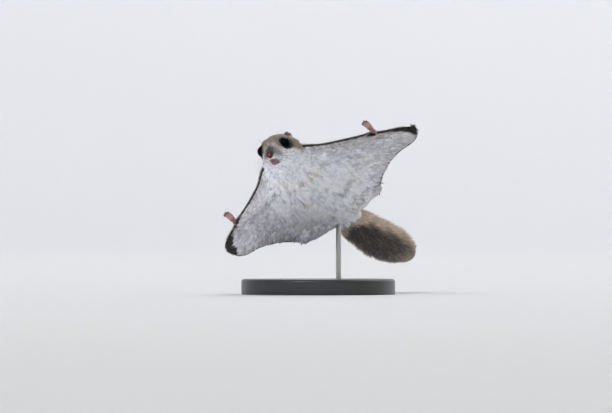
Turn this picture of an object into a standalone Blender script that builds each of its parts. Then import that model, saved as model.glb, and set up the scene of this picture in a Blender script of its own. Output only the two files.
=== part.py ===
"""Siberian flying squirrel in a banked glide, life size, on a plain display stand.

The animal is modelled level in its own frame: +X is its right, +Y its front and +Z its back, with
the origin under the shoulders. One empty then carries it, banked, over the stand, and a second one
carries the head. Sizes are written in millimetres and turned into metres where the meshes are made.
The model's origin is the centre of the underside of the stand's base.
"""

import math
import random

import bmesh
import bpy
from mathutils import Matrix, Vector

MM = 0.001

# How the parts meet: touching pieces keep this gap
GAP = 0.3
WELD = 0.0001

# Stand
BASE_RADIUS = 60.0
BASE_HEIGHT = 12.0
BASE_BEVEL = 2.0
BASE_SIDES = 40
ROD_RADIUS = 2.0
ROD_SIDES = 16
ROD_PLACE = (16.0, 21.0)

# The glide: where the shoulders are over the base, and how the body is turned there
SHOULDER_PLACE = (-20.0, -55.0, 92.0)
GLIDE_HEADING = 149.2
GLIDE_PITCH = 25.7
GLIDE_BANK = 35.2

# Torso stations: along, half width, height of the widest line, rise above it, depth below it
TORSO_SIDES = 24
TORSO_STATIONS = (
    (0.5, 9.0, 14.0, 6.0, 6.0),
    (-2.0, 15.5, 13.5, 10.0, 10.5),
    (-8.0, 19.5, 13.0, 12.5, 13.0),
    (-20.0, 22.0, 13.0, 13.2, 13.2),
    (-42.0, 23.8, 13.5, 13.6, 13.2),
    (-64.0, 23.8, 14.5, 13.6, 13.2),
    (-82.0, 21.5, 16.0, 12.8, 12.4),
    (-96.0, 16.0, 18.0, 11.0, 10.5),
    (-107.0, 10.5, 19.5, 8.0, 8.0),
    (-113.0, 6.0, 20.0, 5.0, 5.0),
)

# Neck stations, in the same terms, from inside the torso to inside the head
NECK_SIDES = 16
NECK_STATIONS = (
    (-9.0, 0.0, 14.0, 13.0, 8.0, 9.0),
    (-3.0, 0.0, 19.6, 13.0, 12.3, 12.8),
    (6.0, -1.0, 19.5, 13.0, 13.5, 13.6),
    (14.0, -2.5, 18.0, 12.0, 14.2, 13.6),
    (21.0, -3.0, 13.0, 11.0, 10.0, 10.0),
)

# Head: its own frame sits midway between the eyes, +Y along the muzzle
HEAD_PLACE = (-3.4, 31.2, 9.7)
HEAD_YAW = -7.6
HEAD_PITCH = -27.8
HEAD_ROLL = -15.3
HEAD_SIDES = 20
HEAD_STATIONS = (
    (-22.0, 9.0, -4.0, 8.0, 7.5),
    (-19.0, 14.0, -4.2, 12.0, 10.5),
    (-14.0, 16.2, -4.4, 13.4, 11.4),
    (-9.0, 15.8, -4.4, 13.8, 11.6),
    (-4.0, 14.4, -4.2, 13.0, 11.4),
    (0.0, 11.7, -4.2, 12.0, 10.9),
    (4.0, 9.4, -5.2, 10.4, 9.0),
    (8.0, 7.0, -6.4, 7.8, 6.6),
    (11.0, 5.0, -6.6, 5.2, 4.6),
    (13.2, 3.0, -6.0, 2.8, 3.0),
)

# Eyes, lids, nose, mouth and ears, in the head's frame
EYE_RADIUS = 4.9
EYE_SEGMENTS = 14
EYE_RINGS = 7
EYE_PLACE = (8.9, -0.9, -0.5)
EYE_AIM = (0.866, 0.427, 0.26)
ORBIT_RADIUS = 6.4
ORBIT_IN = 2.0
LID_RING_RADIUS = 4.6
LID_RADIUS = 0.65
LID_OUT = 2.3
NOSE_PLACE = (0.0, 13.0, -5.6)
NOSE_SIZE = (2.6, 1.8, 2.1)
NOSTRIL_PLACE = (1.25, 14.6, -5.7)
NOSTRIL_RADIUS = 0.55
WHISKER_PAD_PLACE = (2.7, 9.0, -7.9)
WHISKER_PAD_SIZE = (3.7, 4.5, 3.2)
CHIN_PLACE = (0.0, 5.2, -12.1)
CHIN_SIZE = (3.9, 4.6, 2.3)
LIP_RADIUS = 0.6
UPPER_LIP = ((0.0, 11.5, -9.9), (2.2, 11.2, -10.6), (4.1, 9.0, -10.9), (5.0, 6.6, -10.7))
LOWER_LIP = ((0.0, 9.5, -12.0), (1.9, 9.0, -12.0), (3.5, 7.2, -11.9))
MOUTH_PLACE = (0.0, 8.3, -11.2)
MOUTH_SIZE = (5.0, 4.6, 0.5)
EAR_ROOT = (10.3, -9.0, 5.0)
EAR_TIP = (8.9, -17.6, 7.3)
EAR_HALF_WIDTH = 2.9
EAR_HALF_DEPTH = 1.9
EAR_WALL = 1.0
EAR_HALF_LENGTH_SHARE = 0.58
EAR_MIDDLE_SHARE = 0.42
EAR_OPENS_TO = (1.0, 0.15, 0.25)
EAR_HOLLOW_OUT = 0.8
EAR_HOLLOW_AHEAD = 0.1
EAR_HOLLOW_DEPTH = 1.25
EAR_SIDES = 14
EAR_RINGS = 8

# Wing membranes: outline points as (across, along), the same on both sides
LEADING_EDGE = (
    (8.0, 15.5), (14.0, 12.5), (20.0, 7.0), (30.0, -4.2), (47.0, -19.0), (58.6, -28.4), (64.0, -33.2),
    (72.0, -41.4), (80.0, -49.0), (85.2, -54.4), (88.4, -59.6), (89.8, -64.6),
)
ARM_LINE = ((8.0, -6.0), (18.0, -11.0), (37.0, -22.5), (50.0, -28.5), (61.0, -34.2), (64.0, -33.2))
TRAILING_EDGE = (
    (8.0, -87.0), (24.0, -87.5), (38.0, -90.5), (39.5, -90.5), (45.0, -85.7), (52.0, -79.9), (60.0, -76.4),
    (68.0, -75.2), (76.0, -76.6), (81.0, -77.0), (85.0, -75.2), (88.0, -71.6), (89.8, -67.4),
)
FRONT_REACH = 59.0
MEMBRANE_COLUMNS = 16
MEMBRANE_ROWS = 6
MEMBRANE_THICK = 2.6
MEMBRANE_EDGE_THICK = 1.1
MEMBRANE_ROOT_HEIGHT = 13.0
WING_RISE = 11.0
WING_REACH = 87.0
MEMBRANE_BILLOW = 3.0

# The left wing is carried a little further forward than the right one, its free edge more so
LEAD_SHIFT = 1.5
TRAIL_SHIFT = 4.6
SHIFT_REACH = 45.0

# Limbs: centre line as (across, along, height), with half width in the wing's plane and half depth
LIMB_SIDES = 14
FORELEG_LINE = (
    (12.0, -8.0, 12.0), (23.0, -14.0, 12.2), (37.0, -22.5, 13.6), (50.0, -28.5, 15.6), (63.5, -34.6, 18.2),
)
FORELEG_SIZES = ((7.0, 6.5), (6.4, 5.8), (5.2, 4.6), (4.4, 3.6), (3.6, 3.0))
HINDLEG_LINE = ((11.0, -86.0, 14.5), (20.0, -86.5, 14.0), (29.0, -88.0, 14.2), (37.0, -90.5, 15.4))
HINDLEG_SIZES = ((10.0, 9.0), (9.4, 7.8), (7.4, 6.0), (4.6, 4.2))

# Paws: four fingers in front, five toes behind
DIGIT_SIDES = 5
HAND_WRIST = (66.0, -37.0, 19.0)
HAND_END = (66.0, -13.0, 18.8)
HAND_SHIFT = 2.5
HAND_DIGITS = 4
HAND_HALF_WIDTH = 2.2
HAND_HALF_DEPTH = 1.7
HAND_PALM_SHARE = 0.50
FOOT_ANKLE = (36.5, -92.0, 16.0)
FOOT_END = (25.0, -116.0, 29.0)
FOOT_DIGITS = 5
FOOT_HALF_WIDTH = 3.4
FOOT_HALF_DEPTH = 2.3
FOOT_PALM_SHARE = 0.58
DIGIT_RADIUS = 0.66
DIGIT_SPLAY = 1.15
DIGIT_ROOT_SPREAD = 0.9
DIGIT_ROOT_IN = 2.5
DIGIT_OUTER_SHORTER = 0.35
DIGIT_LONGEST = -0.08
DIGIT_DROOP = 0.5
KNUCKLE_RISE = 0.9
DIGIT_SWELLS = (1.1, 1.0, 1.05)
PALM_SIDES = 12
PALM_ROOT_IN = 2.0
PALM_WRIST_SHARE = 0.85
PALM_HEEL_SHARE = 1.1
CLAW_LENGTH = 2.2
CLAW_SIDES = 4
CLAW_BEND = (0.6, 0.2, 1.1)
CLAW_SIZES = ((0.6, 0.6), (0.45, 0.5), (0.22, 0.22))
CLAW_TIP_BULGE = 0.3

# Tail: flat, bushy to both sides, raised behind the rump
TAIL_LINE = (
    (0.0, -103.0, 18.5), (0.0, -120.0, 22.0), (0.0, -150.0, 29.0), (0.0, -190.0, 40.0), (0.0, -231.0, 51.5),
)
TAIL_HALF_WIDTHS = (7.5, 13.5, 16.5, 18.0, 12.0)
TAIL_HALF_DEPTHS = (6.0, 8.0, 8.5, 8.0, 5.0)
TAIL_SPAN_STEPS = 3
TAIL_SIDES = 14
TAIL_CORE_SHARES = (0.95, 0.72, 0.5, 0.5, 0.46)
TAIL_CORE_END = 0.93

# Tail locks: rings of them from near the root to the end, each lock flat, tapered and bent
LOCK_RINGS = 7
LOCK_FIRST = 0.15
LOCK_LAST = 0.88
LOCKS_AROUND = 7
LOCK_REACH = 0.28
LOCK_END_REACH = 0.06
LOCK_SIDES = 4
LOCK_HALF_WIDTHS = (2.4, 4.9, 4.1, 0.8)
LOCK_HALF_DEPTHS = (0.9, 0.95, 0.75, 0.4)
LOCK_STEPS = (0.0, 0.36, 0.7, 1.0)
LOCK_OUTS = (0.28, 0.66, 0.90, 1.0)
LOCK_VARIATION = 0.12
LOCK_FLAT_END = 0.75
LOCK_CLOSING = 0.45
LOCK_CLOSES_FROM = 0.97
LOCK_END_STEP = 0.02
LOCK_TIP_BULGE = 0.8
LOCK_SEED = 7

SIDES = {"left": -1, "right": 1}


def clear_scene():
    """Remove every object, so that the file holds only this model."""
    for obj in list(bpy.data.objects):
        bpy.data.objects.remove(obj, do_unlink=True)


def make_collection(name):
    """A new collection in the scene."""
    collection = bpy.data.collections.new(name)
    bpy.context.scene.collection.children.link(collection)
    return collection


def make_material(name, colour, roughness, metallic=0.0):
    """A principled material with one colour."""
    material = bpy.data.materials.new(name)
    material.use_nodes = True
    shader = material.node_tree.nodes["Principled BSDF"]
    shader.inputs["Base Color"].default_value = (*colour, 1.0)
    shader.inputs["Roughness"].default_value = roughness
    shader.inputs["Metallic"].default_value = metallic
    material.diffuse_color = (*colour, 1.0)
    return material


def smooth_values(stations, per_span):
    """Points on a smooth curve through the stations, each station a tuple of numbers."""
    result = []
    last = len(stations) - 1
    for span in range(last):
        before = stations[max(span - 1, 0)]
        start = stations[span]
        end = stations[span + 1]
        after = stations[min(span + 2, last)]
        for step in range(per_span):
            t = step / per_span
            row = []
            for p0, p1, p2, p3 in zip(before, start, end, after):
                slope_in = (p2 - p0) / 2
                slope_out = (p3 - p1) / 2
                h00 = 2 * t**3 - 3 * t**2 + 1
                h10 = t**3 - 2 * t**2 + t
                h01 = -2 * t**3 + 3 * t**2
                h11 = t**3 - t**2
                row.append(h00 * p1 + h10 * slope_in + h01 * p2 + h11 * slope_out)
            result.append(tuple(row))
    result.append(tuple(stations[last]))
    return result


def value_at(points, across):
    """Second value of a list of (across, value) pairs, read between its points."""
    for (x0, y0), (x1, y1) in zip(points, points[1:]):
        if across <= x1:
            share = max(0.0, (across - x0) / (x1 - x0))
            return y0 + (y1 - y0) * share
    return points[-1][1]


def add_object(name, bm, collection, material=None, frame=None):
    """Turn a bmesh in millimetres into a named object, carried by an empty."""
    bmesh.ops.recalc_face_normals(bm, faces=bm.faces)
    bmesh.ops.scale(bm, vec=(MM, MM, MM), verts=bm.verts)
    mesh = bpy.data.meshes.new(name)
    bm.to_mesh(mesh)
    bm.free()
    if material:
        mesh.materials.append(material)
    obj = bpy.data.objects.new(name, mesh)
    collection.objects.link(obj)
    if frame:
        obj.parent = frame
    return obj


def loft(rings, start=None, end=None):
    """A closed skin over rings of points; start and end are optional points that close its ends."""
    bm = bmesh.new()
    loops = [[bm.verts.new(point) for point in ring] for ring in rings]
    count = len(loops[0])
    for first, second in zip(loops, loops[1:]):
        for i in range(count):
            j = (i + 1) % count
            bm.faces.new((first[i], first[j], second[j], second[i]))
    for ring, point, flip in ((loops[0], start, True), (loops[-1], end, False)):
        ordered = list(reversed(ring)) if flip else ring
        if point is None:
            bm.faces.new(ordered)
            continue
        pole = bm.verts.new(point)
        for i in range(count):
            bm.faces.new((ordered[i], ordered[(i + 1) % count], pole))
    bmesh.ops.triangulate(bm, faces=bm.faces)
    return bm


def section(along, centre, half_width, middle, rise, depth, sides):
    """One upright cross section, fuller or flatter above its widest line than below it."""
    ring = []
    for i in range(sides):
        angle = 2 * math.pi * i / sides
        lift = rise if math.sin(angle) > 0 else depth
        ring.append(Vector((centre + half_width * math.cos(angle), along, middle + lift * math.sin(angle))))
    return ring


def body_loft(stations, sides, per_span=2, end_bulge=1.5):
    """A closed body through upright stations: along, half width, middle, rise and depth."""
    rows = smooth_values(stations, per_span)
    rings = [section(row[0], 0.0, *row[1:], sides) for row in rows]
    return capped(rings, end_bulge)


def capped(rings, end_bulge):
    """Close a row of rings with a low dome at each end."""
    first = sum(rings[0], Vector()) / len(rings[0])
    second = sum(rings[1], Vector()) / len(rings[1])
    last = sum(rings[-1], Vector()) / len(rings[-1])
    before = sum(rings[-2], Vector()) / len(rings[-2])
    start = first + (first - second).normalized() * end_bulge
    end = last + (last - before).normalized() * end_bulge
    return loft(rings, start, end)


def swept(points, sizes, sides, up=Vector((0, 0, 1)), per_span=2, end_bulge=1.0):
    """A limb: flattened round sections along a smooth line; sizes are half width and half depth."""
    rows = smooth_values([tuple(p) + tuple(s) for p, s in zip(points, sizes)], per_span)
    centres = [Vector(row[:3]) for row in rows]
    rings = []
    for i, row in enumerate(rows):
        ahead = centres[min(i + 1, len(rows) - 1)]
        behind = centres[max(i - 1, 0)]
        forward = (ahead - behind).normalized()
        across = forward.cross(up).normalized()
        lift = across.cross(forward).normalized()
        ring = []
        for k in range(sides):
            angle = 2 * math.pi * k / sides
            ring.append(centres[i] + across * row[3] * math.cos(angle) + lift * row[4] * math.sin(angle))
        rings.append(ring)
    return capped(rings, end_bulge)


def ball(place, sizes, segments=16, rings=10, turn=None):
    """An ellipsoid at a place, optionally turned."""
    bm = bmesh.new()
    bmesh.ops.create_uvsphere(bm, u_segments=segments, v_segments=rings, radius=1.0)
    bmesh.ops.scale(bm, vec=sizes, verts=bm.verts)
    if turn:
        bmesh.ops.rotate(bm, cent=(0, 0, 0), matrix=turn, verts=bm.verts)
    bmesh.ops.translate(bm, vec=place, verts=bm.verts)
    return bm


def bake(obj):
    """Replace an object's mesh by its evaluated one, without modifiers."""
    bpy.context.view_layer.update()
    depsgraph = bpy.context.evaluated_depsgraph_get()
    mesh = bpy.data.meshes.new_from_object(obj.evaluated_get(depsgraph), depsgraph=depsgraph)
    obj.modifiers.clear()
    old = obj.data
    obj.data = mesh
    bpy.data.meshes.remove(old)


def tidy(obj):
    """Weld, drop slivers, and keep only the largest closed surface of a mesh."""
    bm = bmesh.new()
    bm.from_mesh(obj.data)
    bmesh.ops.remove_doubles(bm, verts=bm.verts, dist=WELD * MM)
    bmesh.ops.triangulate(bm, faces=bm.faces)
    left = set(bm.verts)
    groups = []
    while left:
        stack = [left.pop()]
        group = set(stack)
        while stack:
            vert = stack.pop()
            for edge in vert.link_edges:
                other = edge.other_vert(vert)
                if other in left:
                    left.remove(other)
                    group.add(other)
                    stack.append(other)
        groups.append(group)
    largest = max(groups, key=group_volume)
    scraps = [vert for group in groups if group is not largest for vert in group]
    bmesh.ops.delete(bm, geom=scraps, context="VERTS")
    bm.to_mesh(obj.data)
    bm.free()


def group_volume(group):
    """Volume inside a connected closed surface, from its triangles."""
    total = 0.0
    faces = {face for vert in group for face in vert.link_faces}
    for face in faces:
        a, b, c = (vert.co for vert in face.verts)
        total += a.cross(b).dot(c) / 6
    return total


def is_closed(mesh):
    """True where every edge of a mesh has two faces."""
    bm = bmesh.new()
    bm.from_mesh(mesh)
    closed = all(edge.is_manifold for edge in bm.edges)
    bm.free()
    return closed


def combine(obj, others, operation):
    """One Boolean of an object with several closed objects, applied and tidied."""
    group = bpy.data.collections.new(obj.name + "_operands")
    for other in others:
        group.objects.link(other)
    before = obj.data.copy()
    for solver in ("EXACT", "MANIFOLD"):
        modifier = obj.modifiers.new(operation.lower(), "BOOLEAN")
        modifier.operation = operation
        modifier.operand_type = "COLLECTION"
        modifier.collection = group
        modifier.solver = solver
        bake(obj)
        tidy(obj)
        if is_closed(obj.data):
            break
        obj.data = before.copy()
    else:
        raise RuntimeError("the " + operation.lower() + " on " + obj.name + " left a mesh open")
    bpy.data.collections.remove(group)


def fuse(obj, others):
    """Join closed pieces to an object, and remove them."""
    combine(obj, others, "UNION")
    for other in others:
        bpy.data.objects.remove(other, do_unlink=True)


def grown(obj, cutters):
    """A copy of a finished piece, larger all round by the gap, to cut its neighbours clear of it."""
    copy = bpy.data.objects.new(obj.name + "_clearance", obj.data.copy())
    cutters.objects.link(copy)
    copy.parent = obj.parent
    copy.hide_render = True
    copy.display_type = "WIRE"
    swell = copy.modifiers.new("swell", "DISPLACE")
    swell.mid_level = 0.0
    swell.strength = GAP * MM
    bake(copy)
    return copy


def carve(obj, clearances):
    """Cut an object clear of its neighbours."""
    combine(obj, clearances, "DIFFERENCE")


def mirrored(place, side):
    """A point given for the right side, on the side asked for."""
    return Vector((place[0] * side, place[1], place[2]))


def wing_shift(across, side, amount):
    """How far a point of one wing is carried forward, or back, of its mate."""
    return -side * amount * min(1.0, max(0.0, across - 12.0) / (SHIFT_REACH - 12.0))


def wing_height(across, chord):
    """Height of the membrane's middle: it rises to the tip and billows between its edges."""
    rise = WING_RISE * (across / WING_REACH) ** 2
    spread = math.sin(math.pi * min(1.0, max(0.0, (across - 16.0) / 72.0)))
    return MEMBRANE_ROOT_HEIGHT + rise + MEMBRANE_BILLOW * spread * math.sin(math.pi * chord)


def membrane(name, side, front, rear, reach, tools, free_front, free_rear):
    """A sheet between two outline curves, thinner along its free edges."""
    bm = bmesh.new()
    start = max(front[0][0], rear[0][0])
    columns = []
    weights = []
    front_curve = smooth_values(front, 5)
    rear_curve = smooth_values(rear, 5)
    for i in range(MEMBRANE_COLUMNS + 1):
        share = i / MEMBRANE_COLUMNS
        across = start + (reach - start) * (1 - (1 - share) ** 1.25)
        lead = value_at(front_curve, across)
        trail = value_at(rear_curve, across)
        column = []
        for j in range(MEMBRANE_ROWS + 1):
            chord = 0.5 - 0.5 * math.cos(math.pi * j / MEMBRANE_ROWS)
            shift = LEAD_SHIFT + (TRAIL_SHIFT - LEAD_SHIFT) * chord
            if free_front:
                shift = LEAD_SHIFT
            along = lead + (trail - lead) * chord + wing_shift(across, side, shift)
            billow_chord = chord if free_rear else 0.0
            height = wing_height(across, billow_chord)
            column.append(bm.verts.new((across * side, along, height)))
            to_tip = (reach - across) / 8.0
            to_front = abs(along - lead) / 8.0 if free_front or across > 64.0 else 1.0
            to_rear = abs(along - trail) / 8.0 if free_rear else 1.0
            weights.append(min(1.0, to_tip if free_rear else 1.0, to_front, to_rear))
        columns.append(column)
    for first, second in zip(columns, columns[1:]):
        for j in range(MEMBRANE_ROWS):
            bm.faces.new((first[j], first[j + 1], second[j + 1], second[j]))
    bmesh.ops.triangulate(bm, faces=bm.faces)
    bm.verts.index_update()
    obj = add_object(name, bm, tools.parts, tools.fur_pale, tools.glide)
    group = obj.vertex_groups.new(name="thick")
    thin = MEMBRANE_EDGE_THICK / MEMBRANE_THICK
    for index, weight in enumerate(weights):
        group.add([index], thin + (1 - thin) * weight, "REPLACE")
    shell = obj.modifiers.new("shell", "SOLIDIFY")
    shell.thickness = MEMBRANE_THICK * MM
    shell.offset = 0.0
    shell.vertex_group = "thick"
    bake(obj)
    tidy(obj)
    return obj


class Tools:
    """The collections, frames and materials that every piece is made with."""

    def __init__(self):
        self.parts = make_collection("flying_squirrel")
        self.cutters = make_collection("cutters")
        self.fur_pale = make_material("belly_fur", (0.50, 0.49, 0.48), 0.85)
        self.fur_grey = make_material("back_fur", (0.25, 0.20, 0.15), 0.85)
        self.fur_dark = make_material("tail_fur", (0.12, 0.09, 0.07), 0.85)
        self.flesh = make_material("bare_skin", (0.48, 0.19, 0.17), 0.55)
        self.eye = make_material("eye", (0.005, 0.005, 0.006), 0.08)
        self.lacquer = make_material("stand_lacquer", (0.03, 0.03, 0.032), 0.4)
        self.steel = make_material("rod_steel", (0.55, 0.55, 0.56), 0.3, 1.0)
        self.glide = bpy.data.objects.new("glide", None)
        self.parts.objects.link(self.glide)
        turn = (
            Matrix.Rotation(math.radians(GLIDE_HEADING), 4, "Z")
            @ Matrix.Rotation(math.radians(GLIDE_PITCH), 4, "X")
            @ Matrix.Rotation(math.radians(GLIDE_BANK), 4, "Y")
        )
        self.glide.matrix_world = Matrix.Translation(Vector(SHOULDER_PLACE) * MM) @ turn
        self.head = bpy.data.objects.new("head_carriage", None)
        self.parts.objects.link(self.head)
        self.head.parent = self.glide
        nod = (
            Matrix.Rotation(math.radians(HEAD_YAW), 4, "Z")
            @ Matrix.Rotation(math.radians(HEAD_PITCH), 4, "X")
            @ Matrix.Rotation(math.radians(HEAD_ROLL), 4, "Y")
        )
        self.head.matrix_local = Matrix.Translation(Vector(HEAD_PLACE) * MM) @ nod
        bpy.context.view_layer.update()


def build_torso(tools):
    """The trunk, from the chest to the root of the tail."""
    return add_object("torso", body_loft(TORSO_STATIONS, TORSO_SIDES), tools.parts, tools.fur_pale, tools.glide)


def build_neck(tools):
    """The short, furred neck, let into the torso and the head."""
    rings = [section(row[0], row[1], *row[2:], NECK_SIDES) for row in NECK_STATIONS]
    return add_object("neck", capped(rings, 1.5), tools.parts, tools.fur_pale, tools.glide)


def lip(points, name, tools):
    """A rolled lip that runs round the muzzle from one corner of the mouth to the other."""
    right = [Vector(point) for point in points]
    left = [Vector((-point.x, point.y, point.z)) for point in right[1:]]
    line = list(reversed(left)) + right
    sizes = [(LIP_RADIUS, LIP_RADIUS)] * len(line)
    return add_object(name, swept(line, sizes, 5, per_span=1, end_bulge=0.4), tools.cutters, None, tools.head)


def build_head(tools):
    """The head with its lids, nose, nostrils and mouth, and sockets for the eyes."""
    head = add_object("head", body_loft(HEAD_STATIONS, HEAD_SIDES), tools.parts, tools.fur_pale, tools.head)
    added = [
        add_object("nose", ball(NOSE_PLACE, NOSE_SIZE, 10, 6), tools.cutters, None, tools.head),
        add_object("chin", ball(CHIN_PLACE, CHIN_SIZE, 10, 6), tools.cutters, None, tools.head),
    ]
    added.append(lip(UPPER_LIP, "upper_lip", tools))
    added.append(lip(LOWER_LIP, "lower_lip", tools))
    cuts = [add_object("mouth", ball(MOUTH_PLACE, MOUTH_SIZE, 12, 6), tools.cutters, None, tools.head)]
    for side in SIDES.values():
        aim = mirrored(EYE_AIM, side).normalized()
        centre = mirrored(EYE_PLACE, side)
        pad = ball(mirrored(WHISKER_PAD_PLACE, side), WHISKER_PAD_SIZE, 10, 6)
        added.append(add_object("whisker_pad", pad, tools.cutters, None, tools.head))
        facing = aim.to_track_quat("Z", "Y").to_matrix()
        orbit = ball(centre - aim * ORBIT_IN, (ORBIT_RADIUS,) * 3, EYE_SEGMENTS, EYE_RINGS, facing)
        added.append(add_object("orbit", orbit, tools.cutters, None, tools.head))
        added.append(add_object("lid", lid_ring(centre + aim * LID_OUT, aim), tools.cutters, None, tools.head))
        hole = EYE_RADIUS + GAP
        socket = ball(centre, (hole,) * 3, EYE_SEGMENTS, EYE_RINGS)
        cuts.append(add_object("socket", socket, tools.cutters, None, tools.head))
        nostril = ball(mirrored(NOSTRIL_PLACE, side), (NOSTRIL_RADIUS, 1.2, NOSTRIL_RADIUS), 8, 6)
        cuts.append(add_object("nostril", nostril, tools.cutters, None, tools.head))
    fuse(head, added)
    combine(head, cuts, "DIFFERENCE")
    for cut in cuts:
        bpy.data.objects.remove(cut, do_unlink=True)
    return head


def lid_ring(place, aim):
    """The rim of the lids: a ring round the eye, square to where the eye looks."""
    bm = bmesh.new()
    sides = EYE_SEGMENTS
    turn = aim.to_track_quat("Z", "Y")
    loops = []
    for i in range(sides):
        angle = 2 * math.pi * i / sides
        out = Vector((math.cos(angle), math.sin(angle), 0))
        ring = []
        for k in range(5):
            roll = 2 * math.pi * k / 5
            point = out * (LID_RING_RADIUS + LID_RADIUS * math.cos(roll))
            point.z += LID_RADIUS * math.sin(roll)
            ring.append(bm.verts.new(place + turn @ point))
        loops.append(ring)
    for i in range(sides):
        first = loops[i]
        second = loops[(i + 1) % sides]
        for k in range(5):
            j = (k + 1) % 5
            bm.faces.new((first[k], first[j], second[j], second[k]))
    bmesh.ops.triangulate(bm, faces=bm.faces)
    return bm


def build_eye(name, side, tools):
    """One large round eye."""
    bm = ball(mirrored(EYE_PLACE, side), (EYE_RADIUS,) * 3, EYE_SEGMENTS, EYE_RINGS)
    return add_object(name, bm, tools.parts, tools.eye, tools.head)


def build_ear(name, side, tools):
    """One ear, folded back along the head: a pointed cup that opens outwards."""
    root = mirrored(EAR_ROOT, side)
    tip = mirrored(EAR_TIP, side)
    length = (tip - root).length
    forward = (tip - root).normalized()
    outward = mirrored(EAR_OPENS_TO, side)
    outward = (outward - forward * outward.dot(forward)).normalized()
    up = forward.cross(outward).normalized() * side
    turn = Matrix((outward, up, forward)).transposed()
    middle = root + forward * length * EAR_MIDDLE_SHARE
    half_length = length * EAR_HALF_LENGTH_SHARE
    bm = ball(middle, (EAR_HALF_DEPTH, EAR_HALF_WIDTH, half_length), EAR_SIDES, EAR_RINGS, turn)
    ear = add_object(name, bm, tools.parts, tools.fur_grey, tools.head)
    hollow = ball(
        middle + outward * EAR_HALF_DEPTH * EAR_HOLLOW_OUT + forward * length * EAR_HOLLOW_AHEAD,
        (EAR_HALF_DEPTH * EAR_HOLLOW_DEPTH, EAR_HALF_WIDTH - EAR_WALL, half_length - EAR_WALL),
        EAR_SIDES, EAR_RINGS, turn,
    )
    cut = add_object("ear_hollow", hollow, tools.cutters, None, tools.head)
    combine(ear, [cut], "DIFFERENCE")
    bpy.data.objects.remove(cut, do_unlink=True)
    return ear


def limb_line(points, side, shift):
    """A limb's centre line on one side, carried with its wing."""
    line = []
    for across, along, height in points:
        line.append(Vector((across * side, along + wing_shift(across, side, shift), height)))
    return line


def build_paw(name, side, wrist, end, digits, half_width, half_depth, palm_share, shift, tools):
    """A paw: a padded palm with slender clawed digits, fused into one."""
    wrist, end = limb_line((wrist, end), side, shift)
    reach = end - wrist
    forward = reach.normalized()
    across = forward.cross(Vector((0, 0, 1))).normalized()
    lift = across.cross(forward).normalized()
    palm_end = wrist + reach * palm_share
    line = (wrist - forward * PALM_ROOT_IN, wrist + reach * palm_share * 0.5, palm_end)
    wrist_width = half_width * PALM_WRIST_SHARE
    sizes = ((wrist_width, half_depth * PALM_HEEL_SHARE), (wrist_width, half_depth), (half_width, half_depth))
    palm = add_object(name, swept(line, sizes, PALM_SIDES, lift), tools.parts, tools.flesh, tools.glide)
    pieces = []
    for i in range(digits):
        share = i / (digits - 1) - 0.5
        spread = across * share * 2 * (half_width - DIGIT_RADIUS * 0.6)
        shorter = 1.0 - DIGIT_OUTER_SHORTER * abs(share - DIGIT_LONGEST)
        length = reach.length * (1 - palm_share) * shorter
        root = palm_end - forward * DIGIT_ROOT_IN + spread * DIGIT_ROOT_SPREAD
        tip = palm_end + forward * (length - CLAW_LENGTH) + spread * DIGIT_SPLAY - lift * DIGIT_DROOP
        knuckle = (root + tip) / 2 + lift * KNUCKLE_RISE
        sizes = [(DIGIT_RADIUS * swell,) * 2 for swell in DIGIT_SWELLS]
        digit = swept((root, knuckle, tip), sizes, DIGIT_SIDES, lift, 1)
        pieces.append(add_object("digit", digit, tools.cutters, None, tools.glide))
        reach_on, drop, drop_end = CLAW_BEND
        line = (tip, tip + forward * CLAW_LENGTH * reach_on - lift * drop, tip + forward * CLAW_LENGTH - lift * drop_end)
        claw = swept(line, CLAW_SIZES, CLAW_SIDES, lift, 1, CLAW_TIP_BULGE)
        pieces.append(add_object("claw", claw, tools.cutters, None, tools.glide))
    fuse(palm, pieces)
    return palm


def tail_section(share):
    """Centre, directions and envelope of the tail at a share of its length."""
    values = list(zip(TAIL_LINE, TAIL_HALF_WIDTHS, TAIL_HALF_DEPTHS))
    rows = smooth_values([(*point, width, depth) for point, width, depth in values], TAIL_SPAN_STEPS)
    place = min(max(share, 0.0), 1.0) * (len(rows) - 1)
    low = min(int(place), len(rows) - 2)
    part = place - low
    row = [a + (b - a) * part for a, b in zip(rows[low], rows[low + 1])]
    forward = (Vector(rows[low + 1][:3]) - Vector(rows[low][:3])).normalized()
    centre = Vector(row[:3]) + forward * (max(share - 1.0, 0.0) * tail_length())
    across = forward.cross(Vector((0, 0, 1))).normalized()
    lift = across.cross(forward).normalized()
    return centre, across, lift, row[3], row[4]


def tail_length():
    """Length of the tail's line."""
    return sum((Vector(b) - Vector(a)).length for a, b in zip(TAIL_LINE, TAIL_LINE[1:]))


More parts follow.
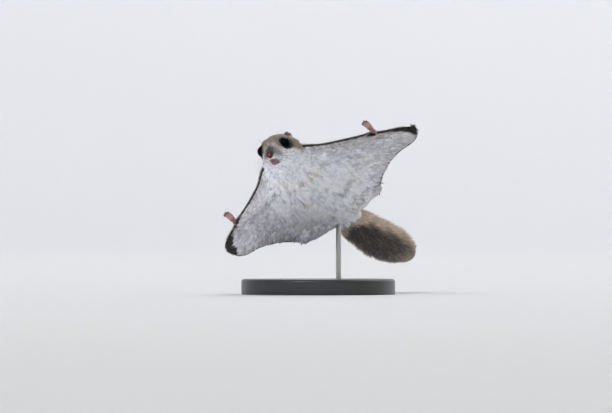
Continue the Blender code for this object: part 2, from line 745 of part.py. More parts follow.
def tail_lock(start, angle, chance, tools):
    """One flat, tapered lock that leaves the core and bends back along the tail to its outline."""
    wide = 1.0 + chance.uniform(-LOCK_VARIATION, LOCK_VARIATION)
    reach = LOCK_REACH * (1.0 + chance.uniform(-LOCK_VARIATION, LOCK_VARIATION))
    beyond = 1.0 + LOCK_END_REACH * (1.0 - LOCK_FLAT_END * abs(math.cos(angle)) ** 2)
    reach = min(reach, beyond - start + chance.uniform(-LOCK_END_STEP, 0.0))
    swing = chance.uniform(-LOCK_VARIATION, LOCK_VARIATION)
    points = []
    for step, out in zip(LOCK_STEPS, LOCK_OUTS):
        share = start + reach * step
        centre, across, lift, half_width, half_depth = tail_section(share)
        closing = 1.0 - LOCK_CLOSING * max(0.0, share - LOCK_CLOSES_FROM) / LOCK_END_REACH
        turn = angle + swing * step
        outward = across * half_width * math.cos(turn) + lift * half_depth * math.sin(turn)
        points.append(centre + outward * out * closing)
    _, across, lift, half_width, half_depth = tail_section(start)
    facing = (across * math.cos(angle) / half_width + lift * math.sin(angle) / half_depth).normalized()
    sizes = [(w * wide, d) for w, d in zip(LOCK_HALF_WIDTHS, LOCK_HALF_DEPTHS)]
    bm = swept(points, sizes, LOCK_SIDES, facing, 1, LOCK_TIP_BULGE)
    return add_object("lock", bm, tools.cutters, None, tools.glide)


def build_tail(tools):
    """The flat, bushy tail: a slim core under rings of overlapping locks, fused into one."""
    line = [tail_section(TAIL_CORE_END * i / (len(TAIL_LINE) - 1)) for i in range(len(TAIL_LINE))]
    points = [section[0] for section in line]
    sizes = [(section[3] * core, section[4] * core) for section, core in zip(line, TAIL_CORE_SHARES)]
    bm = swept(points, sizes, TAIL_SIDES, per_span=TAIL_SPAN_STEPS, end_bulge=2.0)
    tail = add_object("tail", bm, tools.parts, tools.fur_dark, tools.glide)
    chance = random.Random(LOCK_SEED)
    locks = []
    for ring in range(LOCK_RINGS):
        start = LOCK_FIRST + (LOCK_LAST - LOCK_FIRST) * ring / (LOCK_RINGS - 1)
        for i in range(LOCKS_AROUND):
            angle = 2 * math.pi * (i + 0.5 * (ring % 2)) / LOCKS_AROUND
            locks.append(tail_lock(start, angle, chance, tools))
    fuse(tail, locks)
    return tail


def build_stand(tools, torso_clearance):
    """The round base, and the upright rod that meets the underside of the pelvis."""
    bm = bmesh.new()
    bmesh.ops.create_cone(
        bm, cap_ends=True, segments=BASE_SIDES, radius1=BASE_RADIUS, radius2=BASE_RADIUS, depth=BASE_HEIGHT
    )
    bmesh.ops.translate(bm, vec=(0, 0, BASE_HEIGHT / 2), verts=bm.verts)
    base = add_object("stand_base", bm, tools.parts, tools.lacquer)
    rim = base.modifiers.new("rim", "BEVEL")
    rim.width = BASE_BEVEL * MM
    rim.segments = 2
    rim.limit_method = "ANGLE"
    rim.angle_limit = math.radians(60)
    bm = bmesh.new()
    height = SHOULDER_PLACE[2] - BASE_HEIGHT
    bmesh.ops.create_cone(
        bm, cap_ends=True, segments=ROD_SIDES, radius1=ROD_RADIUS, radius2=ROD_RADIUS, depth=height
    )
    lowest = BASE_HEIGHT + GAP
    bmesh.ops.translate(bm, vec=(*ROD_PLACE, lowest + height / 2), verts=bm.verts)
    rod = add_object("stand_rod", bm, tools.parts, tools.steel)
    carve(rod, [torso_clearance])
    return base, rod


def main():
    """Build every piece, each cut clear of those it grows from."""
    clear_scene()
    tools = Tools()
    torso = build_torso(tools)
    head = build_head(tools)
    clear_torso = grown(torso, tools.cutters)
    clear_head = grown(head, tools.cutters)
    neck = build_neck(tools)
    carve(neck, [clear_torso, clear_head])
    trunk = [clear_torso, clear_head, grown(neck, tools.cutters)]
    tail_clear = []
    for side_name, side in SIDES.items():
        build_eye("eye_" + side_name, side, tools)
        ear = build_ear("ear_" + side_name, side, tools)
        carve(ear, trunk)
        line = limb_line(FORELEG_LINE, side, LEAD_SHIFT)
        foreleg = add_object(
            "foreleg_" + side_name, swept(line, FORELEG_SIZES, LIMB_SIDES), tools.parts, tools.fur_pale, tools.glide
        )
        carve(foreleg, trunk)
        line = limb_line(HINDLEG_LINE, side, TRAIL_SHIFT)
        hindleg = add_object(
            "hindleg_" + side_name, swept(line, HINDLEG_SIZES, LIMB_SIDES), tools.parts, tools.fur_pale, tools.glide
        )
        carve(hindleg, trunk)
        limbs = [grown(foreleg, tools.cutters), grown(hindleg, tools.cutters)]
        hand = build_paw(
            "hand_" + side_name, side, HAND_WRIST, HAND_END, HAND_DIGITS,
            HAND_HALF_WIDTH, HAND_HALF_DEPTH, HAND_PALM_SHARE, HAND_SHIFT, tools,
        )
        carve(hand, limbs)
        foot = build_paw(
            "hind_foot_" + side_name, side, FOOT_ANKLE, FOOT_END, FOOT_DIGITS,
            FOOT_HALF_WIDTH, FOOT_HALF_DEPTH, FOOT_PALM_SHARE, TRAIL_SHIFT, tools,
        )
        carve(foot, limbs)
        limbs.append(grown(hand, tools.cutters))
        limbs.append(grown(foot, tools.cutters))
        tail_clear.extend(limbs)
        front = membrane(
            "front_membrane_" + side_name, side, LEADING_EDGE, ARM_LINE, FRONT_REACH, tools, True, False
        )
        carve(front, trunk + limbs)
        rear = membrane(
            "side_membrane_" + side_name, side,
            ARM_LINE[:-1] + LEADING_EDGE[6:], TRAILING_EDGE, 89.6, tools, False, True,
        )
        carve(rear, trunk + limbs + [grown(front, tools.cutters)])
    tail = build_tail(tools)
    carve(tail, [clear_torso] + tail_clear)
    build_stand(tools, clear_torso)
    for obj in tools.parts.objects:
        if obj.type == "MESH":
            obj.data.shade_smooth()
            obj.data.set_sharp_from_angle(angle=math.radians(40))


main()
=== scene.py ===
"""Siberian flying squirrel in a banked glide on a plain stand: skin, coat, eyes, paws, claws and stand.

Sizes are in millimetres in the animal's own level frame, +X its right, +Y its front and +Z its back,
unless a name says otherwise. They become metres in the row frame when a mesh is made.
"""

from __future__ import annotations

import logging
import math
import sys
from dataclasses import dataclass, field
from enum import Enum
from typing import Any, Sequence

import bpy
import numpy as np
from bpy.types import ID, Material, Mesh, Node, NodeSocket, NodeTree, Object
from mathutils import Matrix, Vector
from mathutils.bvhtree import BVHTree
from mathutils.kdtree import KDTree

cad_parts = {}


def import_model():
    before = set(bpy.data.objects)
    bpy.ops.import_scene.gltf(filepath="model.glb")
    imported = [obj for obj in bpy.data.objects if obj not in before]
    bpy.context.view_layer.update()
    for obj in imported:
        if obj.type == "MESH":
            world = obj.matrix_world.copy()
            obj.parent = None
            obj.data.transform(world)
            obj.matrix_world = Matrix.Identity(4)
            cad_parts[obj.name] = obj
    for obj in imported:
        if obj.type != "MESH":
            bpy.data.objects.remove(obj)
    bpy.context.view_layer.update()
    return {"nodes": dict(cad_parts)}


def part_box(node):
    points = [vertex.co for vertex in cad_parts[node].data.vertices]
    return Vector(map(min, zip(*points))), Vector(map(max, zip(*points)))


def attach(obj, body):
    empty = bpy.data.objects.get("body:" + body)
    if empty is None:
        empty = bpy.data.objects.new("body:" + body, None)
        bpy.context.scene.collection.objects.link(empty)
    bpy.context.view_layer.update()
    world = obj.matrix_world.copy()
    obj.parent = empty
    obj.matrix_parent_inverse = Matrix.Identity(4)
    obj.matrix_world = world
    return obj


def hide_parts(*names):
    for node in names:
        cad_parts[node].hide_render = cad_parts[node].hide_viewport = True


LOG = logging.getLogger("flying_squirrel")
MM = 0.001
Array = np.ndarray
# The sign of each side in the animal's frame and the head's
SIDES = {"left": -1.0, "right": 1.0}


class Region(Enum):
    """The parts of the animal that differ in coat and colour."""

    BODY = 0
    HEAD = 1
    EAR = 2
    WING = 3
    FORELEG = 4
    HINDLEG = 5
    TAIL = 6
    PAW = 7


@dataclass(frozen=True)
class Growth:
    """How the coat of one part grows.

    `density` is tufts on a face of the skin, `length`, `width` and `lift` are a tuft's own sizes, and
    `depth` is how far the skin lies under the solids' outline, in mm.
    """

    density: float
    length: float
    width: float
    lift: float
    depth: float


GROWTH = {
    Region.BODY: Growth(density=0.86, length=6.0, width=1.1, lift=1.7, depth=2.0),
    Region.HEAD: Growth(density=0.88, length=3.4, width=0.56, lift=0.75, depth=0.9),
    Region.EAR: Growth(density=0.8, length=1.1, width=0.28, lift=0.18, depth=0.15),
    Region.WING: Growth(density=0.69, length=4.2, width=0.92, lift=0.5, depth=0.75),
    Region.FORELEG: Growth(density=0.95, length=3.6, width=0.74, lift=0.8, depth=1.0),
    Region.HINDLEG: Growth(density=0.98, length=4.4, width=0.9, lift=1.1, depth=1.3),
    Region.TAIL: Growth(density=0.0, length=4.0, width=0.9, lift=1.0, depth=0.0),
    Region.PAW: Growth(density=0.28, length=1.3, width=0.26, lift=0.2, depth=0.0),
}
# The solids that the one skin stands for
FLESH = {
    "torso": Region.BODY, "neck": Region.BODY, "head": Region.HEAD, "tail": Region.TAIL,
    "ear_left": Region.EAR, "ear_right": Region.EAR,
    "foreleg_left": Region.FORELEG, "foreleg_right": Region.FORELEG,
    "hindleg_left": Region.HINDLEG, "hindleg_right": Region.HINDLEG,
    "front_membrane_left": Region.WING, "front_membrane_right": Region.WING,
    "side_membrane_left": Region.WING, "side_membrane_right": Region.WING,
}


def growth(name: str, regions: Array) -> Array:
    """Return one size of the coat for each number in regions."""
    return np.array([getattr(GROWTH[kind], name) for kind in Region])[regions]


def within(regions: Array, *kinds: Region) -> Array:
    """Return which numbers in regions are of some kinds."""
    return np.isin(regions, [kind.value for kind in kinds])


def linear(code: str) -> Array:
    """Turn an sRGB hex colour into red, green and blue of linear light, from 0 to 1."""
    parts = np.array([int(code[i : i + 2], 16) / 255 for i in (1, 3, 5)])
    return np.where(parts <= 0.04045, parts / 12.92, ((parts + 0.055) / 1.055) ** 2.4)


def rgba(code: str) -> tuple[float, float, float, float]:
    """Return an sRGB hex colour as linear red, green, blue and a full alpha."""
    return (*(float(part) for part in linear(code)), 1.0)


def unit(vectors: Array) -> Array:
    """Return vectors scaled to a length of one."""
    return vectors / np.maximum(np.linalg.norm(vectors, axis=-1, keepdims=True), 1e-9)


def ramp(values: Array, low: float, high: float) -> Array:
    """Return a smooth step from 0 at low to 1 at high."""
    share = np.clip((values - low) / (high - low), 0.0, 1.0)
    return share * share * (3 - 2 * share)


def blend(first: Array | str, second: Array | str, share: Array | float) -> Array:
    """Return vectors or linear colours mixed row by row; a colour may be given as its hex code."""
    first, second = (linear(item) if isinstance(item, str) else item for item in (first, second))
    share = np.asarray(share)[..., None]
    return first * (1 - share) + second * share


def mirrored(place: Sequence[float] | Array, side: float | Array) -> Array:
    """Return a place or direction of the right side on one side, or on each row's own side."""
    side = np.asarray(side, float)
    return np.array(place, float) * np.stack([side, np.ones_like(side), np.ones_like(side)], -1)


def square_to(vectors: Array, axes: Array) -> Array:
    """Return unit vectors along what is left of vectors square to unit axes."""
    return unit(vectors - axes * (vectors * axes).sum(1, keepdims=True))


def around(sides: int) -> Array:
    """Return evenly spaced angles round a circle."""
    return 2 * math.pi * np.arange(sides) / sides


def mottle(points: Array, size: float, seed: int) -> Array:
    """A soft random field from a few crossing waves.

    Args:
        points: places in millimetres.
        size: rough width of a patch in millimetres.
        seed: picks the waves.

    Returns:
        Values from about -1 to 1.
    """
    chance = np.random.default_rng(seed)
    total = np.zeros(len(points))
    for _ in range(6):
        wave = unit(chance.normal(size=3)) * 2 * math.pi / (size * chance.uniform(1.4, 3.2))
        start = chance.uniform(0, 2 * math.pi)
        total += np.sin(points @ wave + start + 1.3 * np.sin(points @ wave[::-1]))
    return total / 3.0


def transformed(points: Array, matrix: Matrix) -> Array:
    """Return points carried by a 4 x 4 matrix."""
    grid = np.array(matrix)
    return points @ grid[:3, :3].T + grid[:3, 3]


def turn(heading: float, pitch: float, roll: float) -> Matrix:
    """Return a turn of roll, then pitch, then heading, in degrees."""
    return (
        Matrix.Rotation(math.radians(heading), 4, "Z")
        @ Matrix.Rotation(math.radians(pitch), 4, "X")
        @ Matrix.Rotation(math.radians(roll), 4, "Y")
    )


@dataclass(frozen=True)
class Pose:
    """Where the animal's own frame and its head's frame sit, as in the part's source."""

    shoulders: tuple[float, float, float] = (-20.0, -55.0, 92.0)
    glide: tuple[float, float, float] = (149.2, 25.7, 35.2)
    head_place: tuple[float, float, float] = (-3.4, 31.2, 9.7)
    head_turn: tuple[float, float, float] = (-7.6, -27.8, -15.3)

    def body(self) -> Matrix:
        """Return the animal's frame in the row frame, in millimetres."""
        return Matrix.Translation(self.shoulders) @ turn(*self.glide)

    def head(self) -> Matrix:
        """Return the head's frame in the animal's frame."""
        return Matrix.Translation(self.head_place) @ turn(*self.head_turn)

    def to_row(self, points: Array) -> Array:
        """Return the animal's millimetres as metres in the row frame."""
        return transformed(points, self.body()) * MM

    def from_row(self, points: Array) -> Array:
        """Return metres in the row frame as the animal's millimetres."""
        return transformed(points / MM, self.body().inverted())

    def from_head(self, points: Array) -> Array:
        """Return the head's millimetres in the animal's frame."""
        return transformed(np.asarray(points, float), self.head())

    def to_head(self, points: Array) -> Array:
        """Return the animal's millimetres in the head's frame."""
        return transformed(points, self.head().inverted())

    def turn_to_row(self, vectors: Array) -> Array:
        """Return directions in the animal's frame as directions in the row frame."""
        return vectors @ np.array(self.body())[:3, :3].T

    def turn_from_head(self, vectors: Array) -> Array:
        """Return directions in the head's frame as directions in the animal's frame."""
        return np.asarray(vectors, float) @ np.array(self.head())[:3, :3].T


POSE = Pose()


def spline(stations: Sequence[Sequence[float]], per_span: int) -> Array:
    """Rows on a smooth curve through stations.

    Args:
        stations: rows of numbers.
        per_span: rows made for each span.

    Returns:
        The rows, the last station among them.
    """
    rows = np.array(stations, float)
    result = []
    for i in range(len(rows) - 1):
        before, start = rows[max(i - 1, 0)], rows[i]
        end, after = rows[i + 1], rows[min(i + 2, len(rows) - 1)]
        for step in range(per_span):
            t = step / per_span
            slope_in, slope_out = (end - before) / 2, (after - start) / 2
            result.append(
                (2 * t**3 - 3 * t**2 + 1) * start + (t**3 - 2 * t**2 + t) * slope_in
                + (3 * t**2 - 2 * t**3) * end + (t**3 - t**2) * slope_out
            )
    result.append(rows[-1])
    return np.array(result)


@dataclass
class Form:
    """A mesh as arrays: points and faces of three or four corners."""

    points: Array
    faces: list[tuple[int, ...]]

    def moved(self, points: Array) -> Form:
        """Return the same faces over other points."""
        return Form(points, self.faces)


def joined(forms: Sequence[Form]) -> Form:
    """Return several forms as one."""
    points, faces, count = [], [], 0
    for form in forms:
        points.append(form.points)
        faces.extend(tuple(i + count for i in face) for face in form.faces)
        count += len(form.points)
    return Form(np.concatenate(points), faces)


def lofted(rings: Array, start: Array, end: Array) -> Form:
    """A closed form over rings of points.

    Args:
        rings: points as rows of rings.
        start: the point that closes the first ring.
        end: the point that closes the last ring.

    Returns:
        The form.
    """
    count, sides = rings.shape[:2]
    faces: list[tuple[int, ...]] = []
    for i in range(count - 1):
        for k in range(sides):
            j = (k + 1) % sides
            faces.append((i * sides + k, i * sides + j, (i + 1) * sides + j, (i + 1) * sides + k))
    first, last = count * sides, count * sides + 1
    for k in range(sides):
        j = (k + 1) % sides
        faces.append((j, k, first))
        faces.append(((count - 1) * sides + k, (count - 1) * sides + j, last))
    return Form(np.concatenate([rings.reshape(-1, 3), [start], [end]]), faces)


def body_form(stations: Sequence[Sequence[float]], sides: int, per_span: int, bulge: float) -> Form:
    """A form through upright sections.

    Args:
        stations: along, half width, height of the widest line, rise above it and depth below it.
        sides: points in a section.
        per_span: sections for each span.
        bulge: how far the end caps stand out.

    Returns:
        The form.
    """
    angle = around(sides)
    rings = []
    for along, half_width, middle, rise, depth in spline(stations, per_span):
        height = middle + np.where(np.sin(angle) > 0, rise, depth) * np.sin(angle)
        rings.append(np.stack([half_width * np.cos(angle), np.full(sides, along), height], 1))
    grid = np.array(rings)
    step = np.sign(grid[-1, 0, 1] - grid[0, 0, 1]) * bulge
    return lofted(grid, grid[0].mean(0) - (0, step, 0), grid[-1].mean(0) + (0, step, 0))


def swept(
    line: Array, sizes: Array, sides: int, up: Sequence[float] = (0, 0, 1), per_span: int = 3,
    bulge: float = 0.5,
) -> Form:
    """A limb of flattened round sections along a smooth line.

    Args:
        line: points of the centre line.
        sizes: half width and half depth at each point.
        sides: points in a section.
        up: the direction the depth is measured in.
        per_span: sections for each span.
        bulge: how far the end caps stand out.

    Returns:
        The form.
    """
    rows = spline(np.concatenate([np.array(line, float), np.array(sizes, float)], 1), per_span)
    centres = rows[:, :3]
    forward = unit(np.gradient(centres, axis=0))
    across = unit(np.cross(forward, np.array(up, float)))
    lift = np.cross(across, forward)
    angle = around(sides)
    rings = (
        centres[:, None]
        + across[:, None] * (rows[:, 3:4] * np.cos(angle))[..., None]
        + lift[:, None] * (rows[:, 4:5] * np.sin(angle))[..., None]
    )
    return lofted(rings, centres[0] - forward[0] * bulge, centres[-1] + forward[-1] * bulge)


def ball(
    place: Sequence[float], sizes: Sequence[float], sides: int = 32, rings: int = 16,
    facing: Matrix | None = None,
) -> Form:
    """An ellipsoid.

    Args:
        place: its centre.
        sizes: its three half axes.
        sides: points round it.
        rings: rings from pole to pole.
        facing: an optional turn about its centre.

    Returns:
        The form.
    """
    polar = (math.pi * np.arange(1, rings) / rings)[:, None]
    angle = around(sides)
    level = np.repeat(np.cos(polar), sides, 1)
    grid = np.stack([np.sin(polar) * np.cos(angle), np.sin(polar) * np.sin(angle), level], 2)
    form = lofted(grid[::-1], np.array([0, 0, -1.0]), np.array([0, 0, 1.0]))
    points = form.points * np.array(sizes, float)
    if facing is not None:
        points = points @ np.array(facing.to_3x3()).T
    return form.moved(points + np.array(place, float))


def new_mesh(name: str, points: Array, faces: Array | Sequence[Sequence[int]]) -> Mesh:
    """Make a smoothly shaded mesh, quickly where its faces are an array with as many corners each."""
    mesh = bpy.data.meshes.new(name)
    if isinstance(faces, np.ndarray):
        count, corners = faces.shape
        mesh.vertices.add(len(points))
        mesh.vertices.foreach_set("co", points.astype(np.float32).ravel())
        mesh.loops.add(count * corners)
        mesh.loops.foreach_set("vertex_index", faces.astype(np.int32).ravel())
        mesh.polygons.add(count)
        mesh.polygons.foreach_set("loop_start", (np.arange(count) * corners).astype(np.int32))
        mesh.polygons.foreach_set("loop_total", np.full(count, corners, np.int32))
        mesh.update(calc_edges=True)
    else:
        mesh.from_pydata(points.tolist(), [], [list(face) for face in faces])
    mesh.polygons.foreach_set("use_smooth", np.ones(len(mesh.polygons), bool))
    mesh.update()
    return mesh


def placed(name: str, data: ID) -> Object:
    """Put a mesh, a light or a camera in the scene."""
    item = bpy.data.objects.new(name, data)
    bpy.context.scene.collection.objects.link(item)
    return item


def add_piece(name: str, mesh: Mesh, material: Material, slot: str, *replaced: str) -> None:
    """Put a mesh in the scene as a piece that rides on the one body.

    Args:
        name: the piece's name.
        mesh: its mesh, in metres in the row frame.
        material: its finish.
        slot: the record's slot that its finish belongs to; not used.
        replaced: the solids it stands for.
    """
    mesh.materials.append(material)
    piece = placed(name, mesh)
    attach(piece, "root")
    if replaced:
        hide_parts(*replaced)
    LOG.info("%s: %d faces", name, len(mesh.polygons))


def paint(mesh: Mesh, name: str, colours: Array) -> None:
    """Store one linear colour for each point of a mesh."""
    layer = mesh.color_attributes.new(name, "FLOAT_COLOR", "POINT")
    full = np.ones((len(colours), 4), np.float32)
    full[:, :3] = colours
    layer.data.foreach_set("color", full.ravel())


@dataclass
class Surface:
    """A closed surface of four-cornered faces, with what the coat needs to know of it."""

    points: Array
    quads: Array
    regions: Array = field(default_factory=lambda: np.zeros(0, int))
    pairs: Array = field(default_factory=lambda: np.zeros((0, 2), int))

    def neighbours(self) -> Array:
        """Return the pairs of neighbouring points, each pair both ways round."""
        if not len(self.pairs):
            ends = np.concatenate([self.quads[:, [i, (i + 1) % 4]] for i in range(4)])
            once = np.unique(np.sort(ends, axis=1), axis=0)
            self.pairs = np.concatenate([once, once[:, ::-1]])
        return self.pairs

    def normals(self) -> Array:
        """Return the outward direction at each point."""
        corners = self.points[self.quads]
        facing = np.cross(corners[:, 2] - corners[:, 0], corners[:, 3] - corners[:, 1])
        total = np.zeros_like(self.points)
        for i in range(4):
            for axis in range(3):
                total[:, axis] += np.bincount(self.quads[:, i], facing[:, axis], len(self.points))
        return unit(total)

    def averaged(self, values: Array, rounds: int, share: float = 0.5) -> Array:
        """Return values at the points, evened out with their neighbours'.

        Args:
            values: one row or number a point.
            rounds: how many times.
            share: how much of the neighbours' mean is taken each time.

        Returns:
            The new values.
        """
        both = self.neighbours()
        flat = values.reshape(len(self.points), -1).astype(float)
        count = np.bincount(both[:, 0], minlength=len(flat))[:, None]
        for _ in range(rounds):
            sums = [np.bincount(both[:, 0], column[both[:, 1]], len(flat)) for column in flat.T]
            flat = flat * (1 - share) + share * np.stack(sums, 1) / np.maximum(count, 1)
        return flat.reshape(values.shape)

    def thickness(self, most: float) -> Array:
        """Return how thick the surface's inside is under each point, up to a limit."""
        tree = BVHTree.FromPolygons(self.points.tolist(), self.quads.tolist())
        inward = -self.normals()
        found = np.full(len(self.points), most)
        starts = self.points + inward * 0.05
        for i, (start, aim) in enumerate(zip(starts.tolist(), inward.tolist())):
            distance = tree.ray_cast(start, aim, most)[3]
            if distance is not None:
                found[i] = distance
        return found


def remeshed(form: Form, size: float) -> Surface:
    """Fuse a form of overlapping closed shapes into one surface of even faces.

    Args:
        form: the shapes, in millimetres.
        size: the width of a face.

    Returns:
        The surface.
    """
    mesh = new_mesh("fusing", form.points, form.faces)
    holder = placed("fusing", mesh)
    modifier = holder.modifiers.new("fuse", "REMESH")
    modifier.mode = "VOXEL"
    modifier.voxel_size = size
    graph = bpy.context.evaluated_depsgraph_get()
    result = bpy.data.meshes.new_from_object(holder.evaluated_get(graph), depsgraph=graph)
    points = np.zeros(len(result.vertices) * 3)
    result.vertices.foreach_get("co", points)
    quads = np.zeros(len(result.loops), int)
    result.loops.foreach_get("vertex_index", quads)
    bpy.data.objects.remove(holder)
    bpy.data.meshes.remove(mesh)
    bpy.data.meshes.remove(result)
    return Surface(points.reshape(-1, 3), quads.reshape(-1, 4))


@dataclass(frozen=True)
class WingPlan:
    """The outline of a wing membrane, as in the part's source: points as across and along."""

    leading: tuple[tuple[float, float], ...] = (
        (8.0, 15.5), (14.0, 12.5), (20.0, 7.0), (30.0, -4.2), (47.0, -19.0), (58.6, -28.4), (64.0, -33.2),
        (72.0, -41.4), (80.0, -49.0), (85.2, -54.4), (88.4, -59.6), (89.8, -64.6),
    )
    trailing: tuple[tuple[float, float], ...] = (
        (38.0, -90.5), (39.5, -90.5), (45.0, -85.7), (52.0, -79.9), (60.0, -76.4), (68.0, -75.2),
        (76.0, -76.6), (81.0, -77.0), (85.0, -75.2), (88.0, -71.6), (89.8, -67.4), (89.8, -64.6),
    )
    arm: tuple[tuple[float, float], ...] = (
        (8.0, -6.0), (18.0, -11.0), (37.0, -22.5), (50.0, -28.5), (61.0, -34.2), (66.0, -36.0),
    )
    leg: tuple[tuple[float, float], ...] = ((8.0, -87.0), (24.0, -87.5), (38.0, -90.5))
    root_height: float = 13.0
    rise: float = 11.0
    reach: float = 87.0
    lead_shift: float = 1.5
    trail_shift: float = 4.6
    shift_from: float = 12.0
    shift_over: float = 33.0

    def height(self, across: Array) -> Array:
        """Return the height of the membrane's edge at places across the wing."""
        return self.root_height + self.rise * (across / self.reach) ** 2

    def shift(self, across: Array | float, side: float, amount: float) -> Array:
        """Return how far points of one wing are carried forward of their mates."""
        return -side * amount * np.clip((across - self.shift_from) / self.shift_over, 0.0, 1.0)

    def line(
        self, points: Sequence[tuple[float, float]], side: float, amount: float, step: float
    ) -> Array:
        """An outline of one wing in the animal's frame.

        Args:
            points: across and along of the outline's points.
            side: -1 for the left wing, 1 for the right.
            amount: how far that outline is carried forward on the left.
            step: the distance between the points made.

        Returns:
            Points in the animal's frame.
        """
        rows = spline(points, 8)
        length = np.concatenate([[0], np.cumsum(np.linalg.norm(np.diff(rows, axis=0), axis=1))])
        places = np.linspace(0, length[-1], max(2, int(length[-1] / step)))
        across = np.interp(places, length, rows[:, 0])
        along = np.interp(places, length, rows[:, 1])
        return np.stack([across * side, along + self.shift(across, side, amount), self.height(across)], 1)

    def distance(self, points: Array, line: Sequence[tuple[float, float]], amount: float) -> Array:
        """Return the level distance from points of either wing to an outline."""
        nearest = np.full(len(points), 1e3)
        for side in SIDES.values():
            outline = self.line(line, side, amount, 1.5)[:, :2]
            mine = points[:, 0] * side > 0
            start, span = outline[:-1], np.diff(outline, axis=0)
            offset = points[mine, None, :2] - start
            share = np.clip((offset * span).sum(-1) / (span**2).sum(-1), 0, 1)
            gap = np.linalg.norm(offset - share[..., None] * span, axis=-1)
            nearest[mine] = gap.min(1)
        return nearest

    def edge(self, points: Array) -> Array:
        """Return the level distance from points of either wing to the nearer of its free edges."""
        return np.minimum(self.distance(points, self.leading, self.lead_shift),
                          self.distance(points, self.trailing, self.trail_shift))


WING = WingPlan()


@dataclass(frozen=True)
class HeadPlan:
    """The head's sizes in its own frame, which sits midway between the eyes with +Y along the muzzle."""

    stations: tuple[tuple[float, ...], ...] = (
        (-22.0, 9.0, -4.0, 8.0, 7.5), (-19.0, 14.0, -4.2, 12.0, 10.5), (-14.0, 16.2, -4.4, 13.4, 11.4),
        (-9.0, 15.8, -4.4, 13.8, 11.6), (-4.0, 14.4, -4.2, 13.0, 11.4), (0.0, 11.7, -4.2, 12.0, 10.9),
        (4.0, 9.4, -5.2, 10.4, 9.0), (8.0, 7.0, -6.4, 7.8, 6.6), (11.0, 5.0, -6.6, 5.2, 4.6),
        (13.2, 3.0, -6.0, 2.8, 3.0),
    )
    eye: tuple[float, float, float] = (8.9, -0.9, -0.5)
    eye_aim: tuple[float, float, float] = (0.866, 0.427, 0.26)
    eye_radius: float = 4.9
    orbit_radius: float = 6.4
    orbit_in: float = 2.0
    nose: tuple[float, float, float] = (0.0, 13.0, -6.1)
    nose_size: tuple[float, float, float] = (2.9, 1.9, 2.9)
    nose_core: float = 0.72
    pad: tuple[float, float, float] = (2.7, 9.0, -7.9)
    pad_size: tuple[float, float, float] = (3.7, 4.5, 3.2)
    chin: tuple[float, float, float] = (0.0, 5.2, -12.1)
    chin_size: tuple[float, float, float] = (3.9, 4.6, 2.3)
    upper_lip: tuple[tuple[float, float, float], ...] = (
        (0.0, 11.5, -9.9), (2.2, 11.2, -10.6), (4.1, 9.0, -10.9), (5.0, 6.6, -10.7),
    )
    lower_lip: tuple[tuple[float, float, float], ...] = (
        (0.0, 9.5, -12.0), (1.9, 9.0, -12.0), (3.5, 7.2, -11.9),
    )
    lip_radius: float = 0.6
    ear_root: tuple[float, float, float] = (10.3, -9.0, 5.0)
    ear_tip: tuple[float, float, float] = (8.9, -17.6, 7.3)

    def eye_centre(self, side: float) -> Array:
        """Return the centre of one eye."""
        return mirrored(self.eye, side)

    def eye_axis(self, side: float) -> Array:
        """Return the direction one eye looks in."""
        return unit(mirrored(self.eye_aim, side))

    def from_eye(self, local: Array, side: float) -> tuple[Array, Array, Array]:
        """Return offsets from one eye, how far they reach, and their degrees off its axis."""
        offset = local - self.eye_centre(side)
        far = np.linalg.norm(offset, axis=1)
        cosine = (offset @ self.eye_axis(side)) / np.maximum(far, 1e-6)
        return offset, far, np.degrees(np.arccos(np.clip(cosine, -1, 1)))

    def lip(self, points: Sequence[Sequence[float]]) -> Form:
        """Return a rolled lip from one corner of the mouth to the other."""
        right = np.array(points, float)
        line = np.concatenate([mirrored(right[:0:-1], -1), right])
        return swept(line, np.full((len(line), 2), self.lip_radius), 10, per_span=4, bulge=0.4)

    def from_lips(self, local: Array) -> Array:
        """Return the distance from places in the head's frame to the nearer lip."""
        nearest = np.full(len(local), 1e3)
        right = np.concatenate([spline(self.upper_lip, 4), spline(self.lower_lip, 4)])
        for place in np.concatenate([right, mirrored(right, -1)]):
            nearest = np.minimum(nearest, np.linalg.norm(local - place, axis=1))
        return nearest

    def form(self) -> Form:
        """Return the head's shapes, overlapping, in the animal's frame."""
        forms = [body_form(self.stations, 56, 5, 1.5), ball(self.chin, self.chin_size)]
        forms += [self.lip(self.upper_lip), self.lip(self.lower_lip)]
        forms.append(ball(self.nose, np.array(self.nose_size) * self.nose_core))
        for side in SIDES.values():
            forms.append(ball(mirrored(self.pad, side), self.pad_size))
            centre = self.eye_centre(side) - self.eye_axis(side) * self.orbit_in
            forms.append(ball(centre, (self.orbit_radius,) * 3, 40, 20))
        whole = joined(forms)
        return whole.moved(POSE.from_head(whole.points))


HEAD = HeadPlan()


